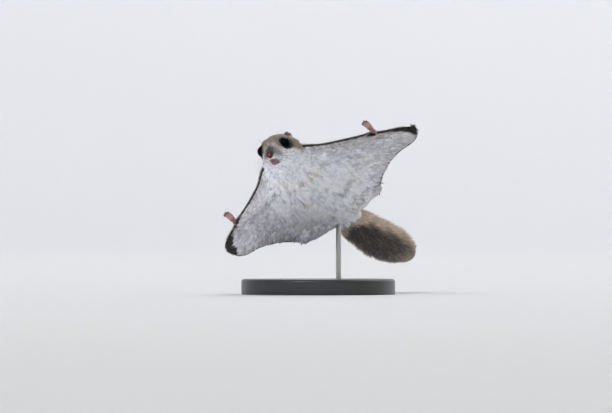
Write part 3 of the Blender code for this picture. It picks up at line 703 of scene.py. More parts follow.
@dataclass(frozen=True)
class TailPlan:
    """The tail's line, its outline and its slim core, as in the part's source."""

    line: tuple[tuple[float, float, float], ...] = (
        (0.0, -103.0, 18.5), (0.0, -120.0, 22.0), (0.0, -150.0, 29.0), (0.0, -190.0, 40.0),
        (0.0, -231.0, 51.5),
    )
    half_widths: tuple[float, ...] = (7.5, 13.5, 16.5, 18.0, 12.0)
    half_depths: tuple[float, ...] = (6.0, 8.0, 8.5, 8.0, 5.0)
    core_shares: tuple[float, ...] = (0.95, 0.72, 0.5, 0.5, 0.46)
    core_depth: float = 0.8
    core_end: float = 0.93

    def rows(self, shares: Array) -> Array:
        """Return the line's place, half width, half depth and core share at shares of the length."""
        stations = [
            (*place, width, depth, core) for place, width, depth, core
            in zip(self.line, self.half_widths, self.half_depths, self.core_shares)
        ]
        table = spline(stations, 12)
        places = np.linspace(0, 1, len(table))
        return np.stack([np.interp(shares, places, table[:, k]) for k in range(table.shape[1])], -1)

    def frame(self, shares: Array) -> tuple[Array, Array, Array]:
        """Return the forward, across and lift directions at shares of the length."""
        ahead = self.rows(np.minimum(shares + 0.01, 1.0))[..., :3]
        behind = self.rows(np.minimum(shares, 0.99))[..., :3]
        forward = unit(ahead - behind)
        across = unit(np.cross(forward, np.array([0.0, 0.0, 1.0])))
        return forward, across, np.cross(across, forward)

    def form(self) -> Form:
        """Return the core under the locks."""
        rows = self.rows(np.linspace(0, self.core_end, 9))
        sizes = rows[:, 3:5] * rows[:, 5:6] - self.core_depth
        return swept(rows[:, :3], sizes, 24, per_span=4, bulge=2.0)


TAIL = TailPlan()


@dataclass
class Hide:
    """The one skin under the coat: the fleshy solids fused, evened out and drawn in.

    `lid_angles` are degrees off the eye's axis, and `shade` is how light the skin is under the coat.
    """

    face: float = 0.72
    swell: float = 0.22
    head_scale: float = 2.0
    head_reach: float = 24.0
    head_middle: tuple[float, float, float] = (0.0, -4.0, -3.5)
    smoothing: int = 5
    fillet_rounds: int = 90
    thickness_share: float = 0.3
    apron: tuple[tuple[float, ...], ...] = (
        (-6.0, 22.0, 13.2, 5.5, 6.5), (-20.0, 30.0, 13.4, 5.6, 7.2), (-42.0, 34.0, 13.8, 5.6, 7.4),
        (-64.0, 34.0, 14.2, 5.6, 7.4), (-80.0, 30.0, 14.8, 5.6, 7.0), (-92.0, 22.0, 16.0, 5.0, 6.0),
    )
    lid_crest: float = 5.4
    lid_inside: float = 4.2
    lid_angles: tuple[float, float, float, float] = (57.0, 66.0, 70.5, 86.0)
    lid_fold: float = 0.22
    lid_reach: float = 11.0
    mouth: tuple[float, float, float] = (0.0, 9.5, -11.2)
    mouth_size: tuple[float, float, float] = (6.5, 6.0, 2.6)
    weld: float = 0.002
    shade: float = 0.8

    def node_form(self, node: Object) -> Form:
        """A solid's mesh in the animal's frame, welded and swelled to close the gaps between solids.

        Args:
            node: the solid.

        Returns:
            The form.
        """
        mesh = node.data
        flat = np.zeros(len(mesh.vertices) * 3)
        mesh.vertices.foreach_get("co", flat)
        mesh.calc_loop_triangles()
        corners = np.zeros(len(mesh.loop_triangles) * 3, int)
        mesh.loop_triangles.foreach_get("vertices", corners)
        points = POSE.from_row(flat.reshape(-1, 3))
        _, first, index = np.unique(
            np.round(points / self.weld), axis=0, return_index=True, return_inverse=True
        )
        points, faces = points[first], index.reshape(-1)[corners].reshape(-1, 3)
        faces = faces[(faces != np.roll(faces, -1, axis=1)).all(1)]
        sides = points[faces]
        facing = np.cross(sides[:, 1] - sides[:, 0], sides[:, 2] - sides[:, 0])
        total = np.zeros_like(points)
        for i in range(3):
            np.add.at(total, faces[:, i], facing)
        return Form(points + unit(total) * self.swell, [tuple(face) for face in faces.tolist()])

    def stretched(self, points: Array, back: bool = False) -> Array:
        """Points drawn away from the middle of the head, so that the even faces come out finer there.

        Args:
            points: places in the animal's frame.
            back: True undoes it.

        Returns:
            The moved points.
        """
        middle = POSE.from_head(np.array([self.head_middle]))
        offset = points - middle
        far = np.linalg.norm(offset, axis=1, keepdims=True)
        grow, reach = self.head_scale, self.head_reach
        if back:
            wanted = np.where(far < reach * grow, far / grow, far - reach * (grow - 1))
        else:
            wanted = np.where(far < reach, far * grow, far + reach * (grow - 1))
        return middle + offset * wanted / np.maximum(far, 1e-6)

    def build(self, nodes: dict[str, Object]) -> Surface:
        """Fuse the fleshy solids into the skin.

        Args:
            nodes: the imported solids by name.

        Returns:
            The skin, in the animal's frame, with a region for each point.
        """
        solids = {name: kind for name, kind in FLESH.items() if kind not in (Region.HEAD, Region.TAIL)}
        forms = [self.node_form(nodes[name]) for name in solids]
        forms += [body_form(self.apron, 40, 4, 1.0), HEAD.form(), TAIL.form()]
        regions = [*solids.values(), Region.BODY, Region.HEAD, Region.TAIL]
        whole = joined(forms)
        owner = np.repeat([kind.value for kind in regions], [len(form.faces) for form in forms])
        skin = remeshed(whole.moved(self.stretched(whole.points)), self.face)
        skin.points = self.stretched(skin.points, back=True)
        tree = BVHTree.FromPolygons(whole.points.tolist(), whole.faces)
        skin.regions = np.array([owner[tree.find_nearest(point)[2]] for point in skin.points.tolist()])
        evened = skin.averaged(skin.points, self.smoothing)
        held = within(skin.regions, Region.HEAD, Region.EAR) * 0.65
        skin.points = blend(evened, skin.points, held)
        self.fill_creases(skin)
        self.draw_in(skin)
        self.open_eyes(skin)
        LOG.info("skin: %d faces", len(skin.quads))
        return skin

    def fill_creases(self, skin: Surface) -> None:
        """Round out the creases where limbs, membranes, neck and trunk meet, and leave what bulges."""
        head = within(skin.regions, Region.HEAD, Region.EAR)
        local = POSE.to_head(skin.points)
        jaw = ramp(-local[:, 1], -3.0, 6.0) * ramp(-local[:, 2], 6.0, 10.0)
        share = np.where(head, np.maximum(ramp(-local[:, 1], 8.0, 18.0), jaw), 1.0)
        for _ in range(self.fillet_rounds):
            rise = ((skin.averaged(skin.points, 1, 1.0) - skin.points) * skin.normals()).sum(1)
            skin.points = skin.points + skin.normals() * (np.maximum(rise, 0) * share)[:, None]
        skin.points = blend(skin.averaged(skin.points, 3), skin.points, np.where(head, 1.0, 0.0))

    def draw_in(self, skin: Surface) -> None:
        """Move the skin inwards by the coat's depth, less where it is thin or bare."""
        depth = growth("depth", skin.regions)
        local = POSE.to_head(skin.points)
        face = within(skin.regions, Region.HEAD)
        depth[face] = 0.25 + 0.75 * ramp(-local[face, 1], -9.0, 6.0)
        for side in SIDES.values():
            gap = HEAD.from_eye(local, side)[1]
            depth = np.where(face, depth * (0.15 + 0.85 * ramp(gap, 7.0, 11.0)), depth)
        mouth = np.linalg.norm((local - self.mouth) / self.mouth_size, axis=1)
        depth = np.where(face, depth * ramp(mouth, 0.8, 1.4), depth)
        depth = np.minimum(depth, self.thickness_share * skin.thickness(8.0))
        depth = skin.averaged(depth, 4)
        skin.points = skin.points - skin.normals() * depth[:, None]
        skin.points = skin.averaged(skin.points, 1, 0.4)

    def open_eyes(self, skin: Surface) -> None:
        """Shape the lids round each eye and sink what would lie over the eyeball."""
        local = POSE.to_head(skin.points)
        inner, start, end, outer = (math.radians(value) for value in self.lid_angles)
        for side in SIDES.values():
            centre, axis = HEAD.eye_centre(side), HEAD.eye_axis(side)
            offset = local - centre
            far = np.linalg.norm(offset, axis=1)
            away = unit(offset)
            angle = np.arccos(np.clip(away @ axis, -1, 1))
            forward = unit(np.array([0.0, 1.0, 0.0]) - axis * axis[1])
            corner = np.clip(away @ forward / np.maximum(np.sin(angle), 1e-3), 0, 1) ** 6
            angle = angle / (1 + 0.13 * corner)
            rise = ramp(angle, inner, start)
            lid = self.lid_inside * (1 - rise) + self.lid_crest * rise
            fold = self.lid_fold * np.sin(np.clip((angle - end) / (outer - end), 0, 1) * 2 * math.pi)
            past = self.lid_crest + (far - self.lid_crest) * ramp(angle, end, outer) - fold
            use = (far < self.lid_reach) & (angle < outer)
            local[use] = centre + away[use] * np.where(angle < end, lid, past)[use, None]
        skin.points = POSE.from_head(local)


@dataclass(frozen=True)
class Markings:
    """The colours of skin and coat by place, the same for both.

    The ramps and the sizes of the mottles below are in mm, and most numbers are where one colour
    gives way to the next.
    """

    belly: str = "#ECEDF4"
    cream: str = "#E2D9C8"
    wing_under: str = "#CFCED2"
    wing_under_edge: str = "#C2BFC1"
    wing_line: str = "#1C1614"
    # Painted rim light along the membranes' free edges, on the upper side
    wing_rim_light: str = "#A8937C"
    back: str = "#7B6B5A"
    back_tip: str = "#A8957C"
    wing_top: str = "#51463D"
    wing_top_edge: str = "#332B27"
    crown: str = "#857769"
    # Painted rim light on the sides and top of the crown
    crown_rim_light: str = "#9C8C7B"
    muzzle: str = "#BAB5B2"
    bridge: str = "#484549"
    eye_ring: str = "#0D0A09"
    cheek: str = "#8F8072"
    lips: str = "#98707A"
    mouth: str = "#3A1C22"
    ear_skin: str = "#6E5A50"
    ear_fur: str = "#5C5047"
    # Painted shade on the middle of the tail's underside; tan that is partly the hair's own and partly
    # painted rim light at its edges
    tail_painted_shade: str = "#3C3431"
    tail_tan_and_rim_light: str = "#D0B9A3"
    tail_top: str = "#85745F"
    tail_tip: str = "#94826F"
    tail_base: str = "#BDB6AF"

    def pale(self, points: Array) -> Array:
        """Return the cool white of the underside, warmer in soft patches, in linear light."""
        warm = 0.6 * ramp(mottle(points, 15, 61), 0.1, 1.1)
        return blend(self.belly, self.cream, warm)

    def face(self, local: Array) -> Array:
        """Colours on the head.

        Args:
            local: places in the head's frame.

        Returns:
            Linear colours.
        """
        x, y, z = local.T
        # The crown is painted lighter and tanner on its sides and top: painted rim light
        crown = blend(self.crown, self.crown_rim_light,
                      ramp(np.abs(x), 6, 13) * ramp(z, -2, 4))
        line = -5.0 + 2.2 * ramp(y, -2, 8) - 3.4 * ramp(-y, 2, 12)
        colour = blend(self.pale(POSE.from_head(local)), crown,
                       ramp(z + 0.5 * mottle(local, 3, 32), line - 1.5, line + 1.8))
        colour = blend(colour, self.muzzle, ramp(y, 4.5, 8.5) * ramp(z, -9.5, -7.0))
        bridge = np.exp(-((x / 4.6) ** 2)) * ramp(y + 1.4 * mottle(local, 2.5, 33), 7.4, 9.8)
        colour = blend(colour, self.bridge, np.minimum(1.2 * bridge, 1) * ramp(z, -8.0, -5.4))
        for side in SIDES.values():
            _, far, angle = HEAD.from_eye(local, side)
            behind = ramp(-(y + 3 - 0.3 * z), 0.0, 5.0) * ramp(-far, -15.0, -8.0)
            behind = behind * ramp(-np.abs(z + 4.5), -5, -2)
            colour = blend(colour, self.cheek, 0.75 * behind * (x * side > 0))
            colour = blend(colour, self.eye_ring, ramp(-angle, -80.0, -75.0) * (far < 7.5))
        # Thin fur lets the pink of the chin show below the mouth
        lips = HEAD.from_lips(local) - 1.5 * ramp(-z, 11.5, 13.0)
        colour = blend(colour, self.lips,
                       ramp(-lips, -1.6, -1.0) * ramp(-np.abs(x + 0.7), -3.5, -2.3))
        # The slit between the lips is painted dark: painted shade in the crease
        gap = np.linalg.norm((local - (0, 9.4, -11.25)) / (2.0, 3.0, 0.28), axis=1)
        return blend(colour, self.mouth, ramp(-gap, -1.25, -0.8))

    def wing(self, points: Array, dorsal: Array) -> Array:
        """Colours on the membranes and along the limbs.

        Args:
            points: places in the animal's frame.
            dorsal: 1 on the upper side, 0 below.

        Returns:
            Linear colours.
        """
        across = np.abs(points[:, 0])
        edge = WING.edge(points)
        below = blend(self.pale(points), self.wing_under, ramp(across, 20, 60) * 0.9)
        below = blend(below, self.wing_under_edge, ramp(-edge, -13, -3) * 0.8)
        above = blend(self.back, self.wing_top, ramp(across, 22, 38))
        above = blend(above, self.wing_top_edge, ramp(-edge, -10, -2))
        lead = WING.distance(points, WING.leading, WING.lead_shift)
        deep = np.where(points[:, 0] > 0, 0.62, 0.42) * (across - 68)
        wedge = ramp(across + 1.2 * mottle(points, 2.5, 43), 71, 76) * ramp(-lead, -1 - deep, 0.5 - deep)
        corner = np.hypot((across - 86.5) / 3.2, (points[:, 1] + 73.5) / 2.6)
        spot = ramp(-corner + 0.2 * mottle(points, 2.5, 44), -1.2, -0.7)
        line = ramp(-edge + 0.15 * mottle(points, 3, 42), -1.0, -0.5)
        # Painted rim light: a tan band along the free edges on the upper side
        above = blend(above, self.wing_rim_light, ramp(-edge, -1.6, -0.8) * 0.85)
        below = blend(below, self.wing_line, np.maximum(np.maximum(line, wedge), spot))
        return blend(below, above, dorsal)

    def tail(self, points: Array) -> Array:
        """Return linear colours on the tail, at places in the animal's frame: painted shade in its middle,
        and tan and painted rim light at its edges.
        """
        shares = np.linspace(0, 1, 60)
        rows = TAIL.rows(shares)
        nearest = np.abs(points[:, None, 1] - rows[None, :, 1]).argmin(1)
        share, row = shares[nearest], rows[nearest]
        side = np.abs(points[:, 0]) / row[:, 3]
        # The brush is rolled a little, so the painted shade of its middle lies nearer to the right edge
        widest = np.where(points[:, 0] > 0, 0.52, 0.34)
        lift = (points[:, 2] - row[:, 2]) / row[:, 4]
        wide = 0.1 + widest * ramp(share, 0.12, 0.34)
        # The underside is painted in shade in the middle, and in tan and rim light towards the edges
        below = blend(self.tail_painted_shade, self.tail_tan_and_rim_light,
                      ramp(side + 0.08 * mottle(points, 4, 52), wide, wide + 0.34))
        # The upper side is painted in tan and rim light towards its edges
        above = blend(self.tail_top, self.tail_tan_and_rim_light, 0.5 * ramp(side, 0.5, 0.95))
        upper = ramp(lift, -0.1, 0.35)
        colour = blend(below, above, upper)
        colour = blend(colour, self.tail_tip, 0.6 * ramp(share, 0.78, 0.95))
        base = blend(self.tail_base, self.back, upper)
        return blend(base, colour, ramp(share + 0.03 * mottle(points, 6, 51), 0.08, 0.2))

    def colour(self, points: Array, normals: Array, regions: Array) -> Array:
        """Colours anywhere on the animal.

        Args:
            points: places in the animal's frame.
            normals: outward directions there.
            regions: the numbers of the regions they belong to.

        Returns:
            Linear colours.
        """
        dorsal = ramp(normals[:, 2], -0.12, 0.16)
        near_tail = ramp(-points[:, 1], 97, 104) * ramp(-np.abs(points[:, 0]), -14, -8)
        below = blend(self.pale(points), self.tail_base, near_tail)
        above = blend(self.back, self.back_tip, 0.25 + 0.2 * mottle(points, 9, 62))
        result = blend(below, above, dorsal)
        flat = within(regions, Region.WING, Region.FORELEG, Region.HINDLEG)
        result[flat] = self.wing(points[flat], dorsal[flat])
        tail = within(regions, Region.TAIL)
        result[tail] = self.tail(points[tail])
        local = POSE.to_head(points)
        head = within(regions, Region.HEAD)
        result[head] = self.face(local[head])
        neck = within(regions, Region.BODY) & (points[:, 1] > -4)
        result[neck] = blend(result[neck], self.face(local[neck]), ramp(points[neck, 1], 2, 16))
        ears = within(regions, Region.EAR)
        result[ears] = blend(self.ear_skin, self.ear_fur,
                             ramp(np.abs(mottle(points[ears], 4, 63)), 0.0, 0.6) * 0.5 + 0.3)
        paws = within(regions, Region.PAW)
        pale = blend(self.belly, self.cream, 0.5)
        result[paws] = blend(pale, self.back, dorsal[paws] * 0.85)
        return result


MARKINGS = Markings()


@dataclass
class Tufts:
    """Coat tufts, one row each, in the animal's frame and in millimetres."""

    roots: Array
    normals: Array
    lies: Array
    lengths: Array
    widths: Array
    lifts: Array
    colours: Array
    tips: Array
    places: Array = field(default_factory=lambda: np.zeros((0, 2)))

    def __post_init__(self) -> None:
        """Keep the colours within range, and give tufts without a place on the bake map one."""
        self.colours, self.tips = np.clip(self.colours, 0, 1), np.clip(self.tips, 0, 1)
        if not len(self.places):
            self.places = np.zeros((len(self.roots), 2))

    def picked(self, chosen: Array) -> Tufts:
        """Return the chosen tufts."""
        return Tufts(*(getattr(self, name)[chosen] for name in self.__dataclass_fields__))


def gathered(groups: Sequence[Tufts]) -> Tufts:
    """Return several groups of tufts as one."""
    names = Tufts.__dataclass_fields__
    return Tufts(*(np.concatenate([getattr(group, name) for group in groups]) for name in names))


@dataclass(frozen=True)
class TuftShape:
    """How every tuft is drawn: a tapered blade with a low ridge, rooted under the skin."""

    steps: tuple[float, ...] = (0.0, 0.45, 1.0)
    wides: tuple[float, ...] = (0.75, 1.0, 0.0)
    climbs: tuple[float, ...] = (0.0, 0.72, 1.0)
    # Each tuft darkens towards its root: the grey underfur, and painted shade deep in the coat
    lights: tuple[float, ...] = (0.78, 0.98, 1.0)
    ridge: float = 0.42
    sink: float = 0.35
    patch: float = 0.003

    def drawn(self, name: str, tufts: Tufts) -> Mesh:
        """The mesh of many tufts.

        Args:
            name: the mesh's name.
            tufts: what to draw.

        Returns:
            The mesh, with its colours, its normals and its bake map.
        """
        count, last = len(tufts.roots), len(self.steps) - 1
        side = unit(np.cross(tufts.lies, tufts.normals))
        up = np.cross(side, tufts.lies)
        points, normals, colours, places = [], [], [], []
        for step, wide, climb, light in zip(self.steps, self.wides, self.climbs, self.lights):
            centre = (
                tufts.roots + tufts.lies * (tufts.lengths * step)[:, None]
                + tufts.normals * (tufts.lifts * climb - self.sink * (1 - climb))[:, None]
            )
            tint = blend(tufts.colours * light, tufts.tips, step * step)
            middle = tufts.places + np.array([0.0, (step - 0.5) * self.patch])
            half = (tufts.widths * wide / 2)[:, None]
            if step == self.steps[last]:
                rows = ((centre, tufts.normals + 0.35 * tufts.lies, 0.0),)
            else:
                rows = (
                    (centre - side * half, tufts.normals - side * 0.55, -0.5),
                    (centre + side * half, tufts.normals + side * 0.55, 0.5),
                    (centre + up * half * 2 * self.ridge, tufts.normals, 0.0),
                )
            for place, facing, across in rows:
                points.append(place)
                normals.append(unit(facing))
                colours.append(tint)
                places.append(middle + np.array([across * self.patch, 0.0]))
        each = len(points)
        table = [(0, 1, 2)]
        for i in range(last - 1):
            a, b = 3 * i, 3 * i + 3
            for first, second in ((1, 0), (2, 1), (0, 2)):
                table.append((a + first, a + second, b + second))
                table.append((a + first, b + second, b + first))
        a, peak = 3 * (last - 1), each - 1
        table += [(a + 1, a, peak), (a + 2, a + 1, peak), (a, a + 2, peak)]
        faces = (np.array(table)[None] + each * np.arange(count)[:, None, None]).reshape(-1, 3)
        grid = np.stack(points, 1).reshape(-1, 3)
        mesh = new_mesh(name, POSE.to_row(grid), faces)
        paint(mesh, "coat", np.stack(colours, 1).reshape(-1, 3))
        bake = np.stack(places, 1).reshape(-1, 2)[faces.ravel()]
        mesh.uv_layers.new(name="OFBake").data.foreach_set("uv", bake.astype(np.float32).ravel())
        facing = POSE.turn_to_row(np.stack(normals, 1).reshape(-1, 3))
        mesh.normals_split_custom_set_from_vertices(facing.tolist())
        return mesh


@dataclass(frozen=True)
class EdgeHair:
    """One layer of the fine hair along a free edge of a membrane.

    `deep` is how far inside the outline it is rooted, `past` how far beyond it ends and `until`
    how far from the middle it grows, in mm.
    """

    facing: float
    deep: tuple[float, float]
    past: tuple[float, float]
    step: float
    root: str
    tip: str
    seed: int
    until: float = 100.0
    across: tuple[float, float] = (0.3, 0.6)
    width: tuple[float, float] = (0.2, 0.36)

    def grown(
        self, side: float, line: Sequence[tuple[float, float]], amount: float, start: float
    ) -> Tufts:
        """Grow the layer on one edge.

        Args:
            side: -1 for the left wing, 1 for the right.
            line: the edge's outline, as across and along.
            amount: how far that outline is carried forward on the left.
            start: how far from the middle the hair begins.

        Returns:
            The tufts, rooted in the skin and swept back along the edge.
        """
        chance = np.random.default_rng(self.seed)
        outline = WING.line(line, side, amount, self.step)
        outline = outline[(np.abs(outline[:, 0]) > start) & (np.abs(outline[:, 0]) < self.until)]
        along = unit(np.gradient(outline, axis=0))
        out = unit(np.cross(along, (0, 0, 1.0))) * (-side if line is WING.leading else side)
        count = len(outline)
        deep, past = chance.uniform(*self.deep, (count, 1)), chance.uniform(*self.past, (count, 1))
        lies = unit(along + out * chance.uniform(*self.across, (count, 1)))
        lengths = ((deep + past) / (lies * out).sum(1, keepdims=True))[:, 0]
        normals = square_to(np.zeros((count, 3)) + (0, 0, self.facing) + 0.4 * out, lies)
        shade = 1 + 0.12 * chance.normal(size=(count, 1))
        return Tufts(outline - out * deep + (0, 0, 0.25 * self.facing), normals, lies, lengths,
                     chance.uniform(*self.width, count), chance.uniform(0.1, 0.35, count),
                     linear(self.root) * shade, linear(self.tip) * shade)


@dataclass
class Coat:
    """Tufts over the skin, laid in the direction the fur of each part runs.

    `bare_eye` is the bare cone round an eye, in degrees and mm, and `bare_nose` the half axes of
    the bare nose. The tail's numbers are shares of its length, and the splits are places in mm.
    """

    seed: int = 5
    shape: TuftShape = TuftShape()
    brush: TuftShape = TuftShape(
        steps=(0.0, 0.3, 0.65, 1.0), wides=(0.6, 1.0, 0.85, 0.0), climbs=(0.0, 0.6, 0.95, 1.0),
        # Darker towards the root: the grey underfur, and painted shade deep in the brush
        lights=(0.6, 0.85, 1.0, 1.0),
    )
    most_in_piece: int = 19000
    in_clump: int = 13
    pull: float = 0.5
    evening: int = 22
    leading_hair: tuple[EdgeHair, ...] = (
        EdgeHair(-1.0, (2.0, 4.6), (-1.9, -1.3), 0.10,
                 MARKINGS.wing_under, MARKINGS.wing_under_edge, 21, 66.0),
        EdgeHair(-1.0, (0.5, 2.4), (-0.4, 0.2), 0.07, MARKINGS.wing_line, MARKINGS.wing_line, 22),
        # The upper layer of the leading edge hair is painted in rim light
        EdgeHair(1.0, (0.7, 3.6), (0.2, 1.25), 0.06, MARKINGS.wing_rim_light, MARKINGS.wing_rim_light, 23, 78.0),
    )
    trailing_hair: tuple[EdgeHair, ...] = (
        EdgeHair(-1.0, (1.4, 3.4), (-1.4, -0.9), 0.10,
                 MARKINGS.wing_under_edge, MARKINGS.wing_under_edge, 24),
        EdgeHair(-1.0, (0.4, 1.7), (-0.2, 0.5), 0.07, MARKINGS.wing_line, MARKINGS.wing_line, 25),
        EdgeHair(1.0, (0.7, 3.0), (-0.4, 0.4), 0.08, MARKINGS.wing_top_edge, MARKINGS.wing_line, 26),
    )
    hair_from: float = 10.0
    tail_tufts: int = 15600
    tail_reach: float = 0.115
    tail_inside: float = 0.93
    tail_from: float = -0.10
    tail_span: float = 1.06
    tail_past: float = 0.078
    bare_eye: tuple[float, float] = (71.0, 8.0)
    bare_nose: tuple[float, float, float] = (3.0, 2.4, 2.4)
    pale_tips: float = 0.28
    dark_tips: float = 0.16
    split_wing: float = 21.5
    split_head: float = 17.0
    split_face: float = -3.4

    def lie(self, points: Array, normals: Array, regions: Array) -> Array:
        """The direction in which the fur lies.

        Args:
            points: places in the animal's frame.
            normals: outward directions there.
            regions: region numbers.

        Returns:
            Directions along the skin.
        """
        side = np.sign(points[:, 0])
        across = np.abs(points[:, 0])
        result = np.zeros((len(points), 3)) - (0, 1, 0)
        result[:, 0] = side * 0.3 * ramp(across, 2, 24)
        wing = within(regions, Region.WING)
        out = 0.35 + 0.5 * ramp(across[wing], 20, 80)
        result[wing] = np.stack([side[wing] * out, -np.sqrt(1 - out**2), 0.1 * out], 1)
        for kind, aim in ((Region.FORELEG, (0.87, -0.48, 0.1)), (Region.HINDLEG, (0.72, -0.66, 0.1))):
            limb = within(regions, kind)
            result[limb] = mirrored(aim, side[limb])
        local = POSE.to_head(points)
        flow = local - (0.0, 17.0, -6.0)
        for near in SIDES.values():
            offset, far, _ = HEAD.from_eye(local, near)
            flow = unit(flow) + unit(offset) * (1.1 * ramp(-far, -10.5, -5.0))[:, None]
        flow = POSE.turn_from_head(unit(flow))
        head = within(regions, Region.HEAD)
        result[head] = flow[head]
        neck = within(regions, Region.BODY) & (points[:, 1] > -2)
        result[neck] = blend(result[neck], flow[neck], ramp(points[neck, 1], 2, 18))
        ear = within(regions, Region.EAR)
        tipward = np.subtract(HEAD.ear_tip, HEAD.ear_root)
        result[ear] = POSE.turn_from_head(mirrored(tipward, side[ear]))
        return square_to(result, normals)

    def swung(self, points: Array, normals: Array, lies: Array) -> Array:
        """Return lies laid along the skin and swung a little, in soft waves and hair by hair."""
        flat = square_to(lies, normals)
        chance = np.random.default_rng(self.seed + 1)
        swing = 0.2 * mottle(points, 7, 71) + 0.14 * chance.normal(size=len(points))
        return unit(flat * np.cos(swing)[:, None] + np.cross(normals, flat) * np.sin(swing)[:, None])

    def sampled(self, skin: Surface, wanted: Array) -> tuple[Array, Array, Array, Array]:
        """Random places spread evenly over a surface.

        Args:
            skin: the surface.
            wanted: how many places each face gets on average.

        Returns:
            The places, their outward directions, their regions and a point of the surface by each.
        """
        chance = np.random.default_rng(self.seed)
        count = np.floor(wanted + chance.random(len(wanted))).astype(int)
        face = np.repeat(np.arange(len(wanted)), count)
        corners = skin.quads[face]
        u, v = chance.random((2, len(face), 1))
        weights = ((1 - u) * (1 - v), u * (1 - v), u * v, (1 - u) * v)
        normals = skin.normals()
        points = sum(weight * skin.points[corners[:, k]] for k, weight in enumerate(weights))
        facing = unit(sum(weight * normals[corners[:, k]] for k, weight in enumerate(weights)))
        return points, facing, skin.regions[corners[:, 0]], corners[:, 0]

    def scale(self, points: Array, regions: Array) -> Array:
        """Return how fine the coat is beside its region's own: finer on the face and by free edges."""
        local = POSE.to_head(points)
        from_nose = np.linalg.norm(local - (0, 13, -6), axis=1)
        fine = 0.22 + 0.78 * ramp(from_nose, 4.0, 22.0)
        for side in SIDES.values():
            gap = HEAD.from_eye(local, side)[1]
            fine = np.minimum(fine, 0.26 + 0.74 * ramp(gap, 5.8, 12.0))
        fine = np.where(within(regions, Region.HEAD), fine, 1.0)
        near_edge = np.where(within(regions, Region.WING), ramp(WING.edge(points), 0.5, 6.0), 1.0)
        return fine * (0.55 + 0.45 * near_edge)

    def cover(self, skin: Surface) -> Tufts:
        """The short coat of everything but the tail.

        Args:
            skin: the skin, or the furred part of a paw.

        Returns:
            The tufts.
        """
        regions = skin.regions[skin.quads[:, 0]]
        middles = skin.points[skin.quads].mean(1)
        wanted = growth("density", regions) * self.furred(middles, regions)
        points, normals, regions, corner = self.sampled(skin, wanted)
        chance = np.random.default_rng(self.seed + 2)
        lies = self.lie(skin.points, skin.normals(), skin.regions)
        lies = self.swung(points, normals, unit(skin.averaged(lies, self.evening))[corner])
        sizes = np.stack([growth(name, skin.regions) for name in ("length", "width", "lift")], 1)
        lengths, widths, lifts = skin.averaged(sizes, self.evening)[corner].T
        scale, count = self.scale(points, regions), len(points)
        lengths = lengths * scale * chance.uniform(0.75, 1.2, count)
        widths = widths * (0.45 + 0.55 * scale) * chance.uniform(0.75, 1.25, count)
        lifts = lifts * scale * chance.uniform(0.6, 1.15, count) * (1 + 0.25 * mottle(points, 6, 72))
        near = np.where(within(regions, Region.BODY), 0.55 + 0.45 * ramp(-points[:, 1], -14.0, 16.0), 1.0)
        lengths, widths, lifts = lengths * near, widths * near, lifts * near
        colours = MARKINGS.colour(points, normals, regions)
        lies, clump = self.clumped(points, lies, lengths, chance)
        lifts = lifts * (1 + 0.35 * clump)
        # Tone differs at random by hair and by clump, and the streaks add painted shade between clumps and
        # in partings
        shade = 1 + 0.08 * chance.normal(size=count) + 0.15 * clump + self.streaks(points)
        shade = np.clip(shade, 0.45, 1.5)[:, None]
        # The back is peppered with pale and dark tips
        dorsal = ramp(normals[:, 2], -0.1, 0.2) * ~within(regions, Region.EAR, Region.TAIL, Region.PAW)
        pepper = (chance.random(count) < self.pale_tips) * dorsal
        tips = colours * 1.06
        tips = blend(tips, tips * 0.35 + linear(MARKINGS.back_tip) * 0.65, 0.8 * pepper)
        dark = (chance.random(count) < self.dark_tips) * dorsal
        tips = blend(tips, tips * 0.35, dark)
        return Tufts(points, normals, lies, lengths, widths, lifts, colours * shade, tips * shade)

    def clumped(
        self, points: Array, lies: Array, lengths: Array, chance: np.random.Generator
    ) -> tuple[Array, Array]:
        """Draw neighbouring tufts together into clumps.

        Args:
            points: roots.
            lies: the direction of each tuft.
            lengths: the length of each tuft.
            chance: picks the clumps.

        Returns:
            The new directions, and for each tuft its clump's own random number.
        """
        seeds = chance.choice(len(points), max(1, len(points) // self.in_clump), replace=False)
        tree = KDTree(len(seeds))
        for number, place in enumerate(points[seeds].tolist()):
            tree.insert(place, number)
        tree.balance()
        mine = np.array([tree.find(place)[1] for place in points.tolist()])
        own = points + lies * lengths[:, None]
        leader = seeds[mine]
        shared = points[leader] + lies[leader] * lengths[:, None] * 1.1
        drawn = unit(blend(own, shared, self.pull) - points)
        return drawn, np.clip(chance.normal(size=len(seeds)), -2, 2)[mine]

    def streaks(self, points: Array) -> Array:
        """Return how much lighter or darker the coat is along its lie: streaks of tone and of painted shade
        between clumps, and painted shade in the partings, deepest by the limbs.
        """
        across = np.abs(points[:, 0])
        over = across * 0.9 + points[:, 1] * 0.42 * ramp(across, 5, 40)
        run = np.stack([points[:, 1] / 4.5, over, np.sign(points[:, 0]) * 40 + points[:, 2] * 0.3], 1)
        fine = mottle(run, 2.3, 91)
        parting_shade = ramp(fine, 0.1, 0.6)
        arm = WING.distance(points, WING.arm, WING.lead_shift)
        leg = WING.distance(points, WING.leg, WING.trail_shift)
        by_arm = ramp(-arm, -13, -5) * ramp(arm, 1.0, 3.0) * ramp(across, 14, 26)
        by_leg = ramp(-leg, -12, -5) * ramp(leg, 1.5, 4.0) * ramp(across, 6, 14)
        # Painted shade in the partings of the coat, deepest beside the arms and legs
        return 0.22 * fine - parting_shade * (0.45 * by_arm + 0.35 * by_leg + 0.12)

    def furred(self, points: Array, regions: Array) -> Array:
        """Return 1 where fur grows and 0 over the eyes, the nose and the lips."""
        local = POSE.to_head(points)
        result = np.ones(len(points))
        head = within(regions, Region.HEAD)
        for side in SIDES.values():
            _, far, angle = HEAD.from_eye(local, side)
            result[head & (angle < self.bare_eye[0]) & (far < self.bare_eye[1])] = 0
        nose = np.linalg.norm((local - HEAD.nose) / self.bare_nose, axis=1)
        result[head & (nose < 1.0)] = 0
